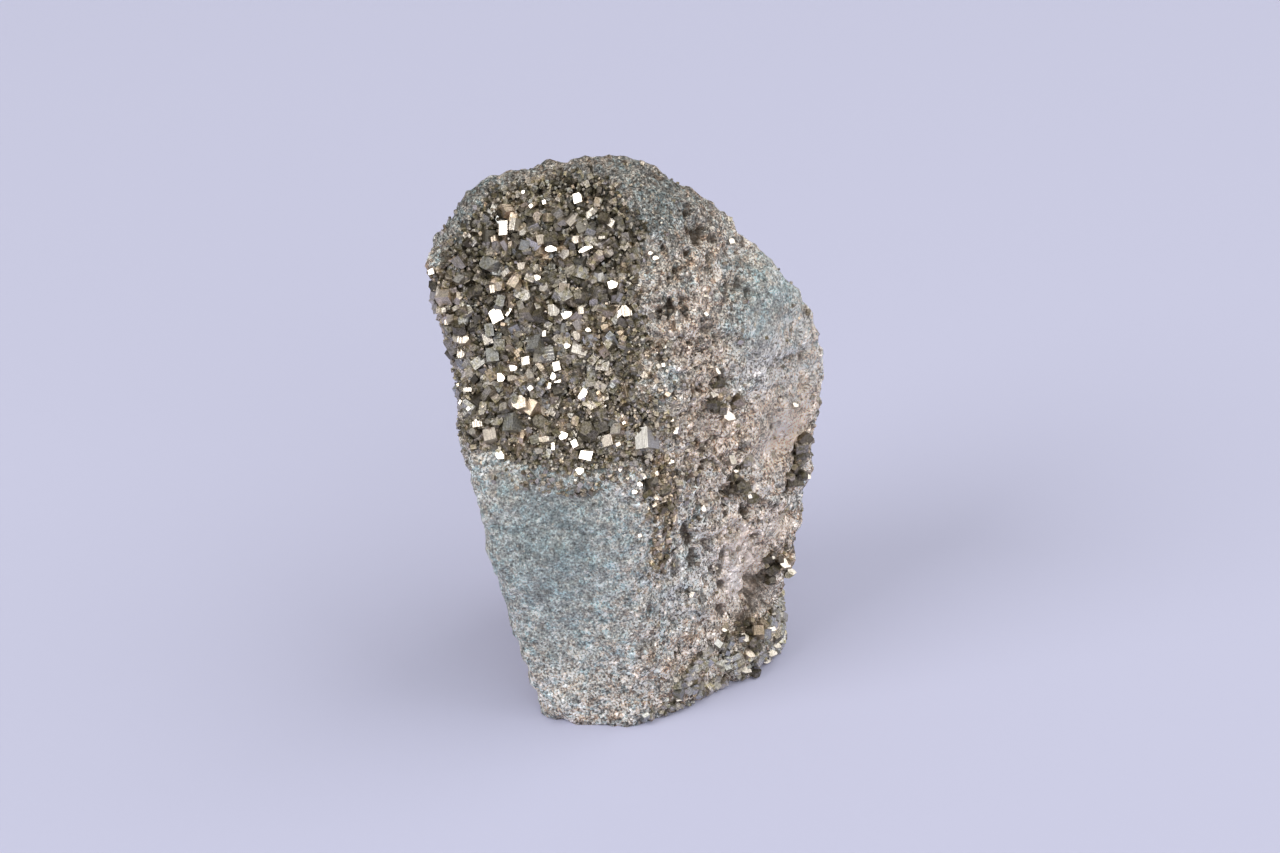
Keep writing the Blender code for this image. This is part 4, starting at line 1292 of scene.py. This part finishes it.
def rock_relief(ground, calm, blotches):
    """Fine height of the rock at each point, and how dark its pits are painted there, partly brown and
    partly painted shade.
    """
    x, _, z = ground.smooth.T
    height = rough(ground.smooth, FINE_ROUGHNESS, FINE_OFFSET) * (1.0 - CALM_FLATTENS * calm)
    dark = np.zeros(len(height))
    draw = random.Random(PIT_SEED)
    flank = np.flatnonzero((x > PIT_FROM_X) & (ground.druse_depth < PIT_DRUSE_DEPTH) & (z > PIT_FROM_Z))
    for index in draw.sample(flank.tolist(), PIT_COUNT):
        weight = blob(ground.smooth, ground.smooth[index], draw.uniform(*PIT_SPREADS))
        depth = draw.uniform(*PIT_DEPTHS)
        height -= depth * weight
        dark = np.maximum(dark, weight * min(1.0, depth * PIT_DARKENING))
    pit = smooth_step(rough(ground.smooth, PIT_OCTAVES, PIT_OFFSET), PIT_START, PIT_FULL)
    pit = pit * smooth_step(x, *BROKEN_X) * (1.0 - smooth_step(ground.druse_depth, -1.0, 0.0))
    pit = pit * (1.0 - calm**2)
    height -= pit * PIT_NOISE_DEPTH
    height -= blotches["pit"] * BLOTCH_PIT_DEPTH
    for share in (pit, blotches["pit"], blotches["brown"] * BROWN_DARKNESS):
        dark = np.maximum(dark, share)
    return height, dark


def rock(ground, surface):
    """The matrix rock with its fine relief, painted with its zones."""
    edge = rough(ground.smooth, BLOTCH_RAGGED, BLOTCH_OFFSET)
    blotches = {kind: blotch_share(ground, kind, edge) for kind in BLOTCHES}
    zones = {}
    for kind in ZONES:
        own = blotches.get(kind, 0.0)
        zones[kind] = np.clip(zone_share(ground.smooth, kind) + own, 0.0, 1.0)
    height, dark = rock_relief(ground, zones["calm"], blotches)
    hollow = smooth_step(ground.druse_depth, 0.0, HOLLOW_EDGE)
    points = ground.points + ground.normals * (height - HOLLOW_DEPTH * hollow)[:, None]
    cut_flat_base(points)
    quads = list(ground.quads)
    obj = mesh_object("matrix_rock_fine", points, quads, ["matrix_rock"], surface)
    # The zones attribute carries tan, teal and the darkness of pits and brown patches, which is partly
    # painted shade
    paint(obj, "zones", np.column_stack([zones["tan"], zones["teal"], dark]))
    # The shade attribute carries the rind zones with their painted shade, and the calm and pale zones
    paint(obj, "shade", np.column_stack([zones["rind_and_shade"], zones["calm"], zones["pale"]]))


# Small clusters and sprinkled crystals


def cluster(name, groups, ground, seen, tree, surface):
    """One cluster: the crystals that stand out, then smaller ones scattered round them."""
    draw = random.Random(CLUSTER_SEED + len(name))
    crystals = Crystals()
    spots = Spots()
    add_landmarks(name, crystals, spots, ground, seen, draw)
    for centre, spread, number, low, high in groups:
        for _ in range(number):
            width = CLUSTER_SCALE * (low + (high - low) * draw.random() ** CLUSTER_SMALL_BIAS)
            aside = Vector([draw.gauss(0, spread * CLUSTER_CROWDING) for _ in range(3)])
            _, index, _ = tree.find(Vector(centre) + aside)
            rise = draw.uniform(*CLUSTER_RISES) * width
            place = ground.points[index] + ground.normals[index] * rise
            if not spots.is_clear(tuple(place), width, CLUSTER_SPACING):
                continue
            spots.add(tuple(place), width)
            habit = draw.choice(CLUSTER_HABITS)
            turn = free_turn(draw, CLUSTER_GLINTS)
            look = random_look(draw, "cluster")
            crystals.add(place, turn, width, habit, look, phase=draw.random() * STRIPE_SHIFT)
    crystals.build(name + "_fine", [name], surface)


def sprinkle_places(ground):
    """Which ground points tiny crystals grow on: the druse's border, the flank, the seam and the foot."""
    x, y, z = ground.smooth.T
    depth = ground.druse_depth
    seam_x = SEAM_X + SEAM_SLOPE * (z - SEAM_SLOPE_FROM_Z)
    foot_top = FOOT_RISE * smooth_step(x, *FOOT_RISE_X) + 1.0
    return {
        "border": (depth < BORDER_DEPTHS[1]) & (depth > BORDER_DEPTHS[0]) & (y < BORDER_BACK_Y),
        "flank": (x > FLANK_FROM_X) & (y < FLANK_BACK_Y) & (depth < 0.0),
        "seam": (np.abs(x - seam_x) < SEAM_HALF_WIDTH) & (y < 0.0) & (z > SEAM_Z[0]) & (z < SEAM_Z[1]),
        "foot": (ground.normals[:, 0] > FOOT_FACING) & (y < FOOT_BACK_Y) & (z < foot_top),
    }


def sprinkle(ground, surface):
    """Tiny crystals on the rock, thickest along the druse's border and the seam and at the foot."""
    draw = random.Random(SPRINKLE_SEED)
    crystals = Crystals()
    places = sprinkle_places(ground)
    for name, (count, low, high, glint_share, look) in SPRINKLES.items():
        for index in draw.choices(np.flatnonzero(places[name]).tolist(), k=count):
            width = low + (high - low) * draw.random() ** SPRINKLE_SMALL_BIAS
            if ground.smooth[index, 2] < SPRINKLE_CLEAR_OF_BASE * width:
                continue
            place = ground.points[index] + ground.normals[index] * (SPRINKLE_RISE * width)
            habit = draw.choice(SPRINKLE_HABITS)
            turn = free_turn(draw, glint_share)
            crystals.add(place, turn, width, habit, random_look(draw, look))
    crystals.build("sprinkled_crystals", [], surface)


# Floor, light and camera


def add_floor():
    bpy.ops.mesh.primitive_plane_add(size=FLOOR_SIZE)
    floor = bpy.context.object
    floor.name = "floor"
    floor.location.z = -FLOOR_GAP
    floor.data.materials.append(floor_material())


def add_light(name, azimuth, elevation, distance, size, watts):
    lamp = bpy.data.lights.new(name, "AREA")
    lamp.shape = "DISK"
    lamp.size = size
    lamp.energy = watts
    lamp.color = LIGHT_COLOUR
    obj = bpy.data.objects.new(name, lamp)
    aim = Vector(normal_of(azimuth, elevation))
    obj.location = aim * distance + Vector((0, 0, LIGHT_AIM_HEIGHT))
    obj.rotation_euler = aim.to_track_quat("Z", "Y").to_euler()
    bpy.context.scene.collection.objects.link(obj)


def add_world():
    """Dim surroundings that the crystals mirror, brighter towards WORLD_UP."""
    world = bpy.context.scene.world or bpy.data.worlds.new("studio")
    bpy.context.scene.world = world
    world.use_nodes = True
    tree = world.node_tree
    place = tree.nodes.new("ShaderNodeTexCoord").outputs["Generated"]
    up = tree.nodes.new("ShaderNodeVectorMath")
    up.operation = "DOT_PRODUCT"
    tree.links.new(place, up.inputs[0])
    up.inputs[1].default_value = WORLD_UP
    level = tree.nodes.new("ShaderNodeMapRange")
    tree.links.new(up.outputs["Value"], level.inputs["Value"])
    for socket, value in WORLD_LEVELS.items():
        level.inputs[socket].default_value = value
    background = tree.nodes["Background"]
    background.inputs["Color"].default_value = WORLD_COLOUR
    tree.links.new(level.outputs["Result"], background.inputs["Strength"])


def add_camera():
    lens = bpy.data.cameras.new("camera")
    lens.lens = LENS_MM
    lens.clip_start = CLOSEST_SEEN_M
    camera = bpy.data.objects.new("camera", lens)
    target = Vector(np.array(VIEW_TARGET) + TO_BASE_CENTRE) * METRES_PER_MM
    camera.location = target + VIEW_DIRECTION * VIEW_DISTANCE * METRES_PER_MM
    camera.rotation_euler = VIEW_DIRECTION.to_track_quat("Z", "Y").to_euler()
    bpy.context.scene.collection.objects.link(camera)
    bpy.context.scene.camera = camera


def main():
    bpy.context.scene.view_settings.view_transform = "Standard"
    stone = rock_material()
    pyrite = pyrite_material()
    ground = Ground(FINE_CELLS)
    rock(ground, stone)
    seen = picture_tree(ground)
    druse(ground, seen, pyrite)
    tree = tree_of(ground.points, range(len(ground.points)))
    for name, groups in CLUSTERS.items():
        cluster(name, groups, ground, seen, tree, pyrite)
    sprinkle(ground, pyrite)
    add_floor()
    for name, settings in LIGHTS.items():
        add_light(name, *settings)
    add_world()
    add_camera()


main()
